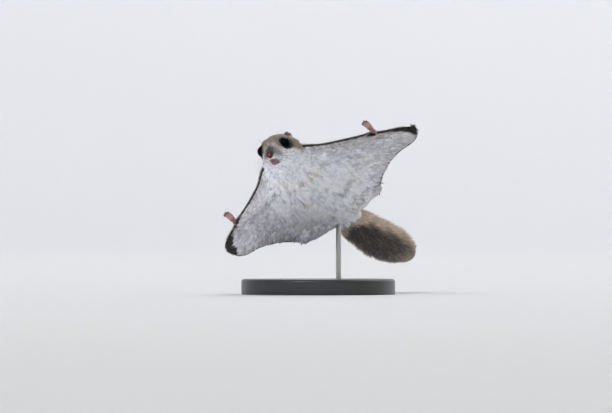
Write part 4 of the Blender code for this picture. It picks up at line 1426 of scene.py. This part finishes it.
        # The fur thins out towards the mouth
        bare = ramp(-HEAD.from_lips(local), -1.9, -0.75) * ramp(-np.abs(local[:, 0] + 0.7), -3.6, -1.9)
        return result * np.where(head, 1 - bare, 1)

    def fringe(self) -> Tufts:
        """Return the hair that covers the membranes' free edges and stands a little past them."""
        groups = []
        for side in SIDES.values():
            for hair in self.leading_hair:
                groups.append(hair.grown(side, WING.leading, WING.lead_shift, self.hair_from))
            for hair in self.trailing_hair:
                groups.append(hair.grown(side, WING.trailing, WING.trail_shift, 0.0))
        return gathered(groups)

    def tail(self) -> Tufts:
        """The long brush of the tail: tufts that leave the core and run back and out to its outline."""
        chance = np.random.default_rng(self.seed + 4)
        count = self.tail_tufts
        start = np.sort(chance.random(count)) * self.tail_span + self.tail_from
        angle = chance.uniform(0, 2 * math.pi, count)
        reach = self.tail_reach * chance.uniform(0.65, 1.25, count)
        inner, after = np.clip(start, 0, TAIL.core_end), np.clip(start + reach, 0.03, 1)
        row, end = TAIL.rows(inner), TAIL.rows(after)
        forward, across, lift = TAIL.frame(inner)
        ahead, over, rise = TAIL.frame(after)
        core = row[:, 3:5] * row[:, 5:6] - TAIL.core_depth
        cos, sin = np.cos(angle), np.sin(angle)
        roots = row[:, :3] + across * (core[:, 0] * cos * self.tail_inside)[:, None]
        roots = roots + lift * (core[:, 1] * sin * self.tail_inside)[:, None]
        past_core = np.clip(start - TAIL.core_end, 0, 1) * 20 + np.minimum(start, 0) * 110
        roots = roots + forward * past_core[:, None]
        fan = angle + 0.12 * mottle(roots, 9, 81) + 0.08 * chance.normal(size=count)
        full = np.sqrt(chance.uniform(0.5, 1.12, count))
        past = np.clip(start + reach - 1.0, 0, 1)
        length = sum(np.linalg.norm(np.subtract(b, a)) for a, b in zip(TAIL.line, TAIL.line[1:]))
        # The outer hairs end sooner, so that the brush closes in a soft round end
        furthest = self.tail_past * (1 - 0.6 * (full * np.cos(fan)) ** 2)
        furthest = furthest * (1 - 0.2 * np.abs(mottle(roots, 2.0, 83)))
        beyond = ahead * (np.minimum(past, furthest) * length)[:, None]
        closing = 1 - 0.7 * ramp(start + reach, 0.9, 1.14)
        tips = (
            end[:, :3] + beyond + over * (end[:, 3] * np.cos(fan) * full * closing)[:, None]
            + rise * (end[:, 4] * np.sin(fan) * full * closing)[:, None]
        )
        lies = unit(tips - roots)
        normals = unit(across * (cos / row[:, 3])[:, None] + lift * (sin / row[:, 4])[:, None])
        normals = square_to(normals, lies)
        middle = roots * 0.4 + tips * 0.6
        colours = MARKINGS.colour(middle, normals, np.full(count, Region.TAIL.value))
        shade = 1 + 0.14 * chance.normal(size=(count, 1)) + 0.10 * mottle(middle, 5, 82)[:, None]
        ends = blend(colours * 1.15, MARKINGS.tail_tan_and_rim_light,
                     (chance.random(count) < 0.22) * (0.25 + 0.45 * ramp(start, 0.6, 0.9)))
        return Tufts(roots, normals, lies, np.linalg.norm(tips - roots, axis=1),
                     chance.uniform(0.55, 1.15, count), chance.uniform(0.3, 1.3, count),
                     colours * shade, ends * shade)

    def unwrapped(self, points: Array, round_head: bool) -> Array:
        """Places on the unwrap of one part of the skin.

        Args:
            points: roots of tufts.
            round_head: True rolls the head's skin off, False lays a pelt flat.

        Returns:
            Two numbers from 0 to 1 for each root.
        """
        if round_head:
            local = POSE.to_head(points)
            flat = np.stack([np.arctan2(local[:, 0], local[:, 2] + 5.0) * 12.0, local[:, 1]], 1)
        else:
            flat = points[:, :2].copy()
        low, high = flat.min(0), flat.max(0)
        margin = 0.01
        return margin + (flat - low) / np.maximum((high - low).max(), 1e-6) * (1 - 2 * margin)

    def add(self, name: str, tufts: Tufts, shape: TuftShape, material: Material, slot: str) -> None:
        """Add tufts as one piece, or as several where they are too many for one."""
        parts = max(1, math.ceil(len(tufts.roots) / self.most_in_piece))
        order = np.argsort(tufts.roots[:, 1], kind="stable")
        for number, chosen in enumerate(np.array_split(order, parts)):
            some = tufts.picked(chosen)
            some.places = self.unwrapped(some.roots, "head" in name)
            label = name if parts == 1 else f"{name}_{number + 1}"
            add_piece(label, shape.drawn(label, some), material, slot)

    def build(self, skin: Surface, hairy: Sequence[Surface], body: Material, tail: Material) -> None:
        """Cover the skin and the paws.

        Args:
            skin: the skin.
            hairy: the furred parts of the four paws.
            body: the coat's finish.
            tail: the finish of the tail's brush.
        """
        tufts = gathered([self.cover(skin), self.fringe()] + [self.cover(paw) for paw in hairy])
        owner = self.owners(tufts)
        for name in sorted(set(owner.tolist())):
            self.add(name, tufts.picked(owner == name), self.shape, body, "fur")
        brush = self.tail()
        low = brush.normals[:, 2] < 0
        self.add("coat_tail_under", brush.picked(low), self.brush, tail, "tail_fur")
        self.add("coat_tail_over", brush.picked(~low), self.brush, tail, "tail_fur")

    def owners(self, tufts: Tufts) -> Array:
        """Return the name of the coat piece that each tuft goes to."""
        x, y = tufts.roots[:, 0], tufts.roots[:, 1]
        upper = tufts.normals[:, 2] > 0
        names = np.where(upper, "coat_back", "coat_belly").astype("U24")
        wing = np.abs(x) > self.split_wing
        for side_name, side in SIDES.items():
            mine = wing & (x * side > 0) & (y < self.split_head + 1)
            names[mine & upper] = f"coat_{side_name}_over"
            names[mine & ~upper] = f"coat_{side_name}_under"
        head = y > self.split_head
        names = np.where(head & (x < self.split_face), "coat_head_left", names)
        return np.where(head & (x >= self.split_face), "coat_head_right", names)


@dataclass
class Paw:
    """One paw: a bare, padded palm and slender toes, with separate claws."""

    name: str
    side: float
    wrist: tuple[float, float, float]
    end: tuple[float, float, float]
    digits: int
    half_width: float
    half_depth: float
    palm_share: float
    shift: float
    digit_radius: float = 0.66
    splay: float = 1.15
    claw: float = 2.2
    face: float = 0.25
    pink: str = "#C79A96"
    toe: str = "#5E4440"
    sole: str = "#6E4A44"

    def axes(self) -> tuple[Array, Array, Array, Array, float]:
        """Return the wrist, the forward, across and lift directions, and the paw's length."""
        ends = []
        for place in (self.wrist, self.end):
            moved = float(WING.shift(place[0], self.side, self.shift))
            ends.append(np.array([place[0] * self.side, place[1] + moved, place[2]]))
        reach = ends[1] - ends[0]
        forward = unit(reach)
        across = unit(np.cross(forward, (0, 0, 1.0)))
        return ends[0], forward, across, np.cross(across, forward), float(np.linalg.norm(reach))

    def toes(self) -> list[Array]:
        """Return the line of each toe: root, two joints and tip."""
        wrist, forward, across, lift, reach = self.axes()
        palm_end = wrist + forward * reach * self.palm_share
        lines = []
        for i in range(self.digits):
            share = i / (self.digits - 1) - 0.5
            spread = across * share * 2 * (self.half_width - self.digit_radius * 0.6)
            length = reach * (1 - self.palm_share) * (1.0 - 0.35 * abs(share + 0.08))
            root = palm_end - forward * 2.5 + spread * 0.9
            tip = palm_end + forward * (length - self.claw) + spread * self.splay - lift * 0.5
            span = tip - root
            knuckles = [root + span * 0.42 + lift * 0.85, root + span * 0.72 + lift * 0.7]
            lines.append(np.array([root, *knuckles, tip]))
        return lines

    def build(self, skin: Material, horn: Material) -> Surface:
        """Make the paw and its claws.

        Args:
            skin: the finish of the bare skin.
            horn: the finish of the claws.

        Returns:
            The paw's surface, for the fur on it.
        """
        wrist, forward, across, lift, reach = self.axes()
        width, depth = self.half_width, self.half_depth
        span = forward * reach * self.palm_share
        heel = wrist + span
        palm = np.array([wrist + forward * 1.0, wrist + span * 0.5, heel])
        sizes = ((width * 0.8, depth * 1.05), (width * 0.85, depth * 0.95), (width, depth * 0.9))
        facing = Matrix((Vector(across), Vector(forward), Vector(lift))).transposed()
        forms = [swept(palm, sizes, 20, lift, 6, 1.0)]
        radius = self.digit_radius
        claws = []
        for line in self.toes():
            sizes = np.outer((1.15, 1.08, 0.9, 1.0), (radius, radius))
            forms.append(swept(line, sizes, 12, lift, 5, 0.5))
            aim = unit(line[-1] - line[-2])
            pad = line[-1] - lift * 0.25 - aim * 0.2
            forms.append(ball(pad, (radius * 1.15, radius * 1.5, radius * 1.05), 16, 10, facing))
            forms.append(ball(line[1], (radius * 1.25, radius * 1.2, radius * 1.15), 14, 8, facing))
            tip = line[-1] + forward * 0.2
            curve = np.array([tip, tip + forward * self.claw * 0.5 - lift * 0.1,
                              tip + forward * self.claw * 0.95 - lift * 1.1])
            claws.append(swept(curve, ((0.52, 0.6), (0.36, 0.48), (0.07, 0.08)), 10, lift, 5, 0.15))
        for place, size in ((-0.75, 0.85), (0.0, 1.0), (0.75, 0.85)):
            pad = heel + across * place * width * 0.75 - lift * depth * 0.62
            pad = pad - forward * (0.8 + abs(place))
            forms.append(ball(pad, (width * 0.33 * size, 1.35 * size, 0.95), 18, 10, facing))
        for place in (-0.45, 0.5):
            pad = wrist + span * 0.45 + across * place * width - lift * depth * 0.6
            forms.append(ball(pad, (width * 0.36, 1.8, 0.9), 18, 10, facing))
        surface = remeshed(joined(forms), self.face)
        surface.points = surface.averaged(surface.points, 3)
        surface.regions = np.full(len(surface.points), Region.PAW.value)
        mesh = new_mesh(f"paw_{self.name}", POSE.to_row(surface.points), surface.quads)
        along = (surface.points - wrist) @ forward / reach
        above = (surface.points - wrist) @ lift / depth
        tone = blend(self.pink, self.toe, ramp(along, 0.66, 0.92) * 0.8)
        tone = blend(tone, self.sole, 0.6 * ramp(-above, 0.35, 1.0) * (along < 0.6))
        paint(mesh, "coat", tone)
        add_piece(f"paw_{self.name}", mesh, skin, "bare_skin", self.name)
        whole = joined(claws)
        mesh = new_mesh(f"claws_{self.name}", POSE.to_row(whole.points), whole.faces)
        add_piece(f"claws_{self.name}", mesh, horn, "claw")
        return surface

    def hairy(self, surface: Surface) -> Surface:
        """Return the part of the paw that fur grows on: its upper side and its wrist."""
        wrist, forward, _, lift, reach = self.axes()
        middles = surface.points[surface.quads].mean(1) - wrist
        along, above = middles @ forward / reach, middles @ lift
        kept = (above > 0.35) & (along < 0.72)
        return Surface(surface.points, surface.quads[kept], surface.regions)


def paws() -> list[Paw]:
    """Return the four paws."""
    result = []
    for name, side in SIDES.items():
        hand = ((66.0, -37.0, 19.0), (66.0, -13.0, 18.8), 4, 2.2, 1.7, 0.50, WING.lead_shift + 1.0)
        foot = ((36.5, -92.0, 16.0), (25.0, -116.0, 29.0), 5, 3.4, 2.3, 0.58, WING.trail_shift)
        result += [Paw(f"hand_{name}", side, *hand), Paw(f"hind_foot_{name}", side, *foot)]
    return result


@dataclass
class Face:
    """What stands on the head besides the skin: eyes, nose pad and whiskers."""

    cornea_rise: float = 0.035
    nostril: tuple[float, float, float] = (1.35, 1.66, -0.2)
    nostril_radius: float = 0.62
    whisker_rows: tuple[int, ...] = (3, 4, 4)
    whisker_length: tuple[float, float] = (11.0, 23.0)
    whisker_radius: float = 0.06
    seed: int = 9
    dark: str = "#4A1A23"
    pink: str = "#B4656F"
    inside: str = "#3A1418"

    def build_eye(self, name: str, side: float, material: Material) -> None:
        """Make one large dark eye with its clear front a little raised."""
        turned = Vector(HEAD.eye_axis(side)).to_track_quat("Z", "Y").to_matrix()
        form = ball((0, 0, 0), (1, 1, 1), 56, 40)
        front = ramp(form.points[:, 2], 0.62, 1.0)
        points = form.points * (HEAD.eye_radius * (1 + self.cornea_rise * front))[:, None]
        points = points @ np.array(turned).T + HEAD.eye_centre(side)
        mesh = new_mesh(name, POSE.to_row(POSE.from_head(points)), form.faces)
        add_piece(name, mesh, material, "eye", name)

    def build_nose(self, material: Material) -> None:
        """Make the bare nose pad with its nostrils and the groove between them."""
        form = ball((0, 0, 0), (1, 1, 1), 72, 48)
        size = np.array(HEAD.nose_size)
        points = form.points[:, [0, 2, 1]] * (1, 1, -1) * size
        points[:, 0] *= 1 - 0.22 * ramp(-points[:, 2], 0.0, 2.0)
        out = unit(points / size**2)
        dent = np.zeros(len(points))
        for side in SIDES.values():
            spread = (points - mirrored(self.nostril, side)) / (0.85, 1.0, 1.0)
            far = np.linalg.norm(spread, axis=1) / self.nostril_radius
            dent += 0.62 * np.exp(-(far**2) * 1.3)
            dent -= 0.12 * np.exp(-((far - 1.6) ** 2) * 6)
        groove = 0.22 * np.exp(-((points[:, 0] / 0.28) ** 2)) * ramp(-points[:, 2], -0.9, 0.4)
        points = points - out * (dent + groove)[:, None] * ramp(points[:, 1], 0.0, 0.8)[:, None]
        mesh = new_mesh("nose", POSE.to_row(POSE.from_head(points + np.array(HEAD.nose))), form.faces)
        # The pad's middle is painted pink: its own pink and a painted highlight
        middle = np.exp(-(points[:, 0] ** 2 + (points[:, 2] - 0.1) ** 2) / 0.8)
        tone = blend(self.dark, self.pink, middle * ramp(points[:, 1], 0.4, 1.2))
        # The nostrils and the groove are painted dark: painted shade in the hollows
        paint(mesh, "coat", blend(tone, self.inside, np.clip(dent * 2.2 + groove, 0, 1)))
        add_piece("nose", mesh, material, "bare_skin")

    def build_whiskers(self, material: Material) -> None:
        """Make the whiskers of the lips and brows, each a thin tapered hair."""
        chance = np.random.default_rng(self.seed)
        forms = []
        short, long = self.whisker_length
        for side in SIDES.values():
            for row, count in enumerate(self.whisker_rows):
                for i in range(count):
                    share = (i + 0.5) / count
                    root = mirrored((3.2 + 2.4 * share, 11.4 - 5.2 * share, -6.6 - 1.1 * row), side)
                    aim = (0.75 + 0.2 * share, 0.35 - 0.95 * share, 0.12 - 0.16 * row)
                    length = (short + (long - short) * share) * chance.uniform(0.85, 1.1)
                    forms.append(self.hair(root, unit(mirrored(aim, side)), length, side, chance))
            for i in range(3):
                root = mirrored((6.0 + 0.8 * i, 3.4 - 1.6 * i, 5.2 - 0.2 * i), side)
                aim = unit(mirrored((0.45, 0.1 - 0.25 * i, 0.85), side))
                forms.append(self.hair(root, aim, chance.uniform(7, 10), side, chance))
        whole = joined(forms)
        mesh = new_mesh("whiskers", POSE.to_row(POSE.from_head(whole.points)), whole.faces)
        add_piece("whiskers", mesh, material, "fur")

    def hair(
        self, root: Array, aim: Array, length: float, side: float, chance: np.random.Generator
    ) -> Form:
        """One whisker.

        Args:
            root: where it leaves the skin, in the head's frame.
            aim: the direction it starts in.
            length: its length.
            side: -1 left, 1 right.
            chance: the source of its small differences.

        Returns:
            The whisker's form.
        """
        steps = np.linspace(0, 1, 6)[:, None]
        droop = np.array([side * 0.05, -0.34 - 0.1 * chance.random(), -0.12 + 0.08 * chance.normal()])
        line = root - aim * 0.6 + aim * steps * length + droop * steps**2 * length
        sizes = np.repeat(self.whisker_radius * (1 - 0.86 * steps), 2, 1)
        return swept(line, sizes, 5, (0.1, 0.2, 1), 2, 0.1)


@dataclass
class Stand:
    """The plain display stand: a lacquered round base and an upright steel rod."""

    radius: float = 60.0
    height: float = 12.0
    bevel: float = 2.0
    rod_radius: float = 2.0
    rod_place: tuple[float, float] = (16.0, 21.0)
    rod_into_coat: float = 4.5
    sides: int = 160

    def turned(
        self, profile: Sequence[tuple[float, float]], place: tuple[float, float], sides: int
    ) -> Form:
        """A turned solid.

        Args:
            profile: radius and height pairs from the bottom to the top.
            place: where its axis stands.
            sides: points round it.

        Returns:
            The form, in millimetres of the row frame.
        """
        angle = around(sides)
        rings = [
            np.stack([place[0] + r * np.cos(angle), place[1] + r * np.sin(angle), np.full(sides, z)], 1)
            for r, z in profile
        ]
        bottom, top = profile[0][1], profile[-1][1]
        return lofted(np.array(rings), np.array([*place, bottom]), np.array([*place, top]))

    def build(self, lacquer: Material, steel: Material) -> None:
        """Make the base and the rod.

        Args:
            lacquer: the base's finish.
            steel: the rod's finish.
        """
        corner = [math.radians(value) for value in range(0, 91, 10)]
        foot, inner = 0.6, self.radius - self.bevel
        base = [(inner, 0.0), (self.radius - foot, 0.0), (self.radius, foot)]
        base += [
            (inner + self.bevel * math.cos(a), self.height - self.bevel + self.bevel * math.sin(a))
            for a in corner
        ]
        base += [(inner - 1.0, self.height), (self.rod_radius + 2.0, self.height)]
        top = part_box("stand_rod")[1].z / MM + self.rod_into_coat
        r = self.rod_radius
        rod = [(r, self.height - 0.5), (r, self.height + 4.0), (r, top - 1.0), (r * 0.7, top)]
        for name, form, material, slot in (
            ("base", self.turned(base, (0.0, 0.0), self.sides), lacquer, "base_lacquer"),
            ("rod", self.turned(rod, self.rod_place, 48), steel, "rod_steel"),
        ):
            mesh = new_mesh(name, form.points * MM, form.faces)
            mesh.set_sharp_from_angle(angle=math.radians(40))
            add_piece(name, mesh, material, slot, f"stand_{name}")


def plug(node: Node, inputs: dict[Any, Any]) -> None:
    """Set a node's inputs, by name or number, to values or link them to other nodes' sockets."""
    for key, value in inputs.items():
        if isinstance(value, NodeSocket):
            node.id_data.links.new(value, node.inputs[key])
        else:
            node.inputs[key].default_value = value


def add_node(
    tree: NodeTree, kind: str, output: str | int, inputs: dict[Any, Any] | None = None, **settings: Any
) -> NodeSocket:
    """Add one shader node with its settings and links.

    Args:
        tree: the material's node tree.
        kind: the end of the node's type name.
        output: which of its outputs is wanted.
        inputs: what its inputs are set or linked to.
        settings: the node's own settings.

    Returns:
        The output.
    """
    node = tree.nodes.new(f"ShaderNode{kind}")
    for name, value in settings.items():
        setattr(node, name, value)
    plug(node, inputs or {})
    return node.outputs[output]


@dataclass(frozen=True)
class Finish:
    """A named material: each kind of finish says what the principled shader is given."""

    name: str

    def inputs(self, tree: NodeTree) -> dict[str, Any]:
        """Return the shader's inputs, as values or as sockets of the pattern's nodes."""
        raise NotImplementedError

    def make(self) -> Material:
        """Return the material."""
        material = bpy.data.materials.new(self.name)
        material.use_nodes = True
        tree = material.node_tree
        plug(tree.nodes["Principled BSDF"], self.inputs(tree))
        return material


@dataclass(frozen=True)
class Fur(Finish):
    """Guard hair over wool: matt, with a faint silky sheen and fine light and dark hairs."""

    roughness: float = 0.72
    sheen: float = 0.22
    hair_mm: float = 0.16
    contrast: float = 0.24

    def inputs(self, tree: NodeTree) -> dict[str, Any]:
        """Return the shader's inputs."""
        place = add_node(tree, "TexCoord", "Object")
        tint = add_node(tree, "VertexColor", "Color", layer_name="coat")
        # Single hairs 0.16 mm wide would vanish at this distance, so the grain is drawn twice as coarse
        hairs = {"Vector": place, "Scale": 1 / (2 * self.hair_mm * MM), "Detail": 2.0}
        span = {"Value": add_node(tree, "TexNoise", "Fac", hairs), "From Min": 0.3, "From Max": 0.7,
                "To Min": 1 - self.contrast, "To Max": 1 + self.contrast}
        light = add_node(tree, "MapRange", "Result", span)
        tone = add_node(tree, "VectorMath", "Vector", {0: tint, "Scale": light}, operation="SCALE")
        return {"Base Color": tone, "Roughness": self.roughness, "Sheen Weight": self.sheen,
                "Sheen Roughness": 0.45, "IOR": 1.55, "Specular IOR Level": 0.25}


@dataclass(frozen=True)
class BareSkin(Finish):
    """Bare skin of nose, lips, palms and lids: soft, slightly damp, with fine pebbled creases."""

    roughness: float = 0.42
    pebble_mm: float = 0.35
    scatter: float = 0.12

    def inputs(self, tree: NodeTree) -> dict[str, Any]:
        """Return the shader's inputs."""
        place = add_node(tree, "TexCoord", "Object")
        tint = add_node(tree, "VertexColor", "Color", layer_name="coat")
        cells = {"Vector": place, "Scale": 1 / (self.pebble_mm * MM)}
        pebbles = add_node(tree, "TexVoronoi", "Distance", cells)
        # The creases between the pebbles are painted darker, as painted shade, besides the bump
        span = {"Value": pebbles, "From Min": 0.0, "From Max": 0.8, "To Min": 1.06, "To Max": 0.82}
        light = add_node(tree, "MapRange", "Result", span)
        tone = add_node(tree, "VectorMath", "Vector", {0: tint, "Scale": light}, operation="SCALE")
        relief = {"Height": pebbles, "Strength": 0.5, "Distance": 0.06 * MM}
        crease = add_node(tree, "Bump", "Normal", relief, invert=True)
        return {"Base Color": tone, "Normal": crease, "Roughness": self.roughness, "IOR": 1.4,
                "Subsurface Weight": self.scatter, "Subsurface Scale": 0.6 * MM}


@dataclass(frozen=True)
class Keratin(Finish):
    """Claw and whisker horn: dark, smooth and slightly translucent, streaked along its length."""

    dark: str
    pale: str
    roughness: float = 0.32

    def inputs(self, tree: NodeTree) -> dict[str, Any]:
        """Return the shader's inputs."""
        place = add_node(tree, "TexCoord", "Object")
        # Growth streaks in horn are about 0.3 mm apart
        lines = {"Vector": place, "Scale": 1 / (0.3 * MM), "Detail": 2.0}
        streak = add_node(tree, "TexNoise", "Fac", lines)
        colours = {0: streak, 6: rgba(self.dark), 7: rgba(self.pale)}
        tone = add_node(tree, "Mix", 2, colours, data_type="RGBA")
        return {"Base Color": tone, "Roughness": self.roughness, "IOR": 1.55}


@dataclass(frozen=True)
class WetEye(Finish):
    """A rodent's nearly black eye under a wet cornea: deep brown that only a highlight breaks."""

    name: str = "wet_black_eye"
    dark: str = "#040303"
    brown: str = "#120A07"

    def inputs(self, tree: NodeTree) -> dict[str, Any]:
        """Return the shader's inputs."""
        place = add_node(tree, "TexCoord", "Object")
        # Iris fibres about 0.4 mm apart, seen only where the light grazes
        threads = {"Vector": place, "Scale": 1 / (0.4 * MM), "Detail": 3.0}
        fibre = add_node(tree, "TexNoise", "Fac", threads)
        span = {"Value": fibre, "From Min": 0.45, "From Max": 0.75, "To Max": 0.6}
        share = add_node(tree, "MapRange", "Result", span)
        colours = {0: share, 6: rgba(self.dark), 7: rgba(self.brown)}
        tone = add_node(tree, "Mix", 2, colours, data_type="RGBA")
        return {"Base Color": tone, "Roughness": 0.05, "IOR": 1.336, "Specular IOR Level": 0.08}


@dataclass(frozen=True)
class SprayedLacquer(Finish):
    """Black lacquer sprayed on a turned hardwood base: satin, with faint orange peel."""

    name: str = "black_satin_lacquer"
    colour: str = "#232325"
    worn: str = "#2E2E31"

    def inputs(self, tree: NodeTree) -> dict[str, Any]:
        """Return the shader's inputs."""
        place = add_node(tree, "TexCoord", "Object")
        # Orange peel in sprayed lacquer is about 1.5 mm across
        waves = add_node(tree, "TexNoise", "Fac", {"Vector": place, "Scale": 1 / (1.5 * MM), "Detail": 2.0})
        peel = add_node(tree, "Bump", "Normal", {"Height": waves, "Strength": 0.12, "Distance": 0.03 * MM})
        haze = add_node(tree, "TexNoise", "Fac", {"Vector": place, "Scale": 1 / (18 * MM), "Detail": 3.0})
        colours = {0: haze, 6: rgba(self.colour), 7: rgba(self.worn)}
        tone = add_node(tree, "Mix", 2, colours, data_type="RGBA")
        rough = add_node(tree, "MapRange", "Result", {"Value": haze, "To Min": 0.3, "To Max": 0.44})
        return {"Base Color": tone, "Roughness": rough, "Normal": peel, "IOR": 1.5, "Coat Weight": 0.2,
                "Coat Roughness": 0.25}


@dataclass(frozen=True)
class DrawnSteel(Finish):
    """Bright drawn steel rod: fine lines along its length stretch the highlights."""

    name: str = "drawn_steel"
    colour: str = "#BDBDBC"
    dull: str = "#A9A9A8"

    def inputs(self, tree: NodeTree) -> dict[str, Any]:
        """Return the shader's inputs."""
        place = add_node(tree, "TexCoord", "Object")
        # Drawing lines are about 0.2 mm apart round the rod and many millimetres long
        stretch = {"Vector": place, "Scale": (1 / (0.2 * MM), 1 / (0.2 * MM), 1 / (12 * MM))}
        lines = add_node(tree, "Mapping", "Vector", stretch)
        grain = add_node(tree, "TexNoise", "Fac", {"Vector": lines, "Scale": 1.0, "Detail": 2.0})
        colours = {0: grain, 6: rgba(self.dull), 7: rgba(self.colour)}
        tone = add_node(tree, "Mix", 2, colours, data_type="RGBA")
        rough = add_node(tree, "MapRange", "Result", {"Value": grain, "To Min": 0.2, "To Max": 0.38})
        return {"Base Color": tone, "Roughness": rough, "Metallic": 1.0}


@dataclass(frozen=True)
class StudioPaper(Finish):
    """Matt white background paper with a barely visible tooth."""

    name: str = "matt_paper"
    colour: str = "#E0E0E0"
    dull: str = "#DCDCDC"

    def inputs(self, tree: NodeTree) -> dict[str, Any]:
        """Return the shader's inputs."""
        place = add_node(tree, "TexCoord", "Object")
        # The tooth of heavy paper comes in patches about 4 mm wide
        tooth = add_node(tree, "TexNoise", "Fac", {"Vector": place, "Scale": 1 / (4 * MM), "Detail": 2.0})
        colours = {0: tooth, 6: rgba(self.dull), 7: rgba(self.colour)}
        tone = add_node(tree, "Mix", 2, colours, data_type="RGBA")
        return {"Base Color": tone, "Roughness": 0.9}


@dataclass(frozen=True)
class Lamp:
    """A broad, even light that shines from a place, in metres, towards the animal."""

    name: str
    place: tuple[float, float, float]
    spread: float
    power: float
    colour: str
    middle: tuple[float, float, float] = (0.0, 0.0, 0.09)

    def add(self) -> None:
        """Put the light in the scene."""
        data = bpy.data.lights.new(self.name, "SUN")
        data.angle = math.radians(self.spread)
        data.energy = self.power
        data.color = rgba(self.colour)[:3]
        lamp = placed(self.name, data)
        lamp.location = self.place
        aim = Vector(self.middle) - Vector(self.place)
        lamp.rotation_euler = aim.to_track_quat("-Z", "Y").to_euler()


@dataclass(frozen=True)
class Panel:
    """A faint round panel on the floor, in metres: it lights the low wing from below, as snow does."""

    name: str
    place: tuple[float, float, float]
    size: float
    power: float
    colour: str

    def add(self) -> None:
        """Put the panel in the scene, facing up and out of sight."""
        data = bpy.data.lights.new(self.name, "AREA")
        data.shape = "DISK"
        data.size = self.size
        data.energy = self.power
        data.color = rgba(self.colour)[:3]
        lamp = placed(self.name, data)
        lamp.location = self.place
        lamp.rotation_euler = (math.radians(180), 0.0, 0.0)
        lamp.visible_camera = False
        lamp.visible_glossy = False


@dataclass(frozen=True)
class Studio:
    """The floor that rises far away on all sides, the soft lights and the camera, in metres."""

    flat: float = 7.0
    curve: float = 5.0
    wall: float = 4.0
    sides: int = 96
    lights: tuple[Lamp | Panel, ...] = (
        Lamp("key", (-1.2, -1.9, 1.7), 28.0, 2.0, "#F8F9FF"),
        Lamp("front", (-1.15, -1.6, 0.06), 45.0, 4.8, "#F0F2FF"),
        Panel("under", (-0.14, -0.08, 0.003), 0.34, 0.19, "#F0F2FF"),
        Lamp("rim", (0.3, 1.3, 1.7), 35.0, 1.0, "#FFFCF6"),
    )
    air: str = "#EEF2F8"
    air_strength: float = 0.62
    camera_place: tuple[float, float, float] = (-0.0095, -6.0, 0.0686)
    frame_width: float = 0.47736
    sensor: float = 36.0

    def build(self, paper: Material) -> None:
        """Make the studio.

        Args:
            paper: the floor's finish.
        """
        rings = [(0.02, 0.0), (0.5, 0.0), (2.0, 0.0), (self.flat, 0.0)]
        for i in range(1, 13):
            angle = math.radians(7.5 * i)
            rings.append((self.flat + self.curve * math.sin(angle), self.curve * (1 - math.cos(angle))))
        rings.append((self.flat + self.curve, self.curve + self.wall))
        sides, angle = self.sides, around(self.sides)
        points = np.concatenate(
            [np.stack([r * np.cos(angle), r * np.sin(angle), np.full(sides, z)], 1) for r, z in rings]
        )
        faces: list[tuple[int, ...]] = [tuple(range(sides))]
        for i in range(len(rings) - 1):
            for k in range(sides):
                j = (k + 1) % sides
                faces.append((i * sides + k, (i + 1) * sides + k, (i + 1) * sides + j, i * sides + j))
        mesh = new_mesh("floor", points, faces)
        mesh.materials.append(paper)
        placed("floor", mesh)
        for light in self.lights:
            light.add()
        world = bpy.data.worlds.new("studio_air")
        world.use_nodes = True
        air = {"Color": rgba(self.air), "Strength": self.air_strength}
        plug(world.node_tree.nodes["Background"], air)
        bpy.context.scene.world = world
        self.aim_camera()

    def aim_camera(self) -> None:
        """Set a long lens level with the animal, so that it flattens depth as the photograph does."""
        data = bpy.data.cameras.new("camera")
        data.sensor_width = self.sensor
        data.lens = self.sensor * -self.camera_place[1] / self.frame_width
        data.clip_end = 60.0
        camera = placed("camera", data)
        camera.location = self.camera_place
        camera.rotation_euler = (math.radians(90), 0.0, 0.0)
        bpy.context.scene.camera = camera


def corners(bounds: Any) -> list[list[float]]:
    """Return a box as two plain lists of numbers."""
    return [[float(value) for value in corner] for corner in bounds]


def main() -> None:
    """Build the stage, the stand and the animal in order."""
    logging.basicConfig(level=logging.INFO, format="%(message)s", stream=sys.stdout)
    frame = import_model()
    bpy.context.scene.view_settings.view_transform = "Standard"
    coat_fur = Fur("squirrel_fur").make()
    brush_fur = Fur("tail_brush_fur", roughness=0.66, contrast=0.32).make()
    hide = BareSkin("furred_skin", roughness=0.6, scatter=0.05).make()
    bare = BareSkin("bare_skin").make()
    horn = Keratin("claw_horn", "#2B1E18", "#5A4436").make()
    whisker = Keratin("whisker_horn", "#3A322E", "#75675E").make()
    Studio().build(StudioPaper().make())
    Stand().build(SprayedLacquer().make(), DrawnSteel().make())
    pelt = Hide()
    skin = pelt.build(frame["nodes"])
    mesh = new_mesh("skin", POSE.to_row(skin.points), skin.quads)
    # Under the coat the skin lies in shade
    paint(mesh, "coat", MARKINGS.colour(skin.points, skin.normals(), skin.regions) * pelt.shade)
    add_piece("skin", mesh, hide, "fur", *FLESH)
    face = Face()
    eye = WetEye().make()
    for side_name, side in SIDES.items():
        face.build_eye(f"eye_{side_name}", side, eye)
    face.build_nose(bare)
    face.build_whiskers(whisker)
    hairy = [paw.hairy(paw.build(bare, horn)) for paw in paws()]
    Coat().build(skin, hairy, coat_fur, brush_fur)


if __name__ == "__main__":
    main()
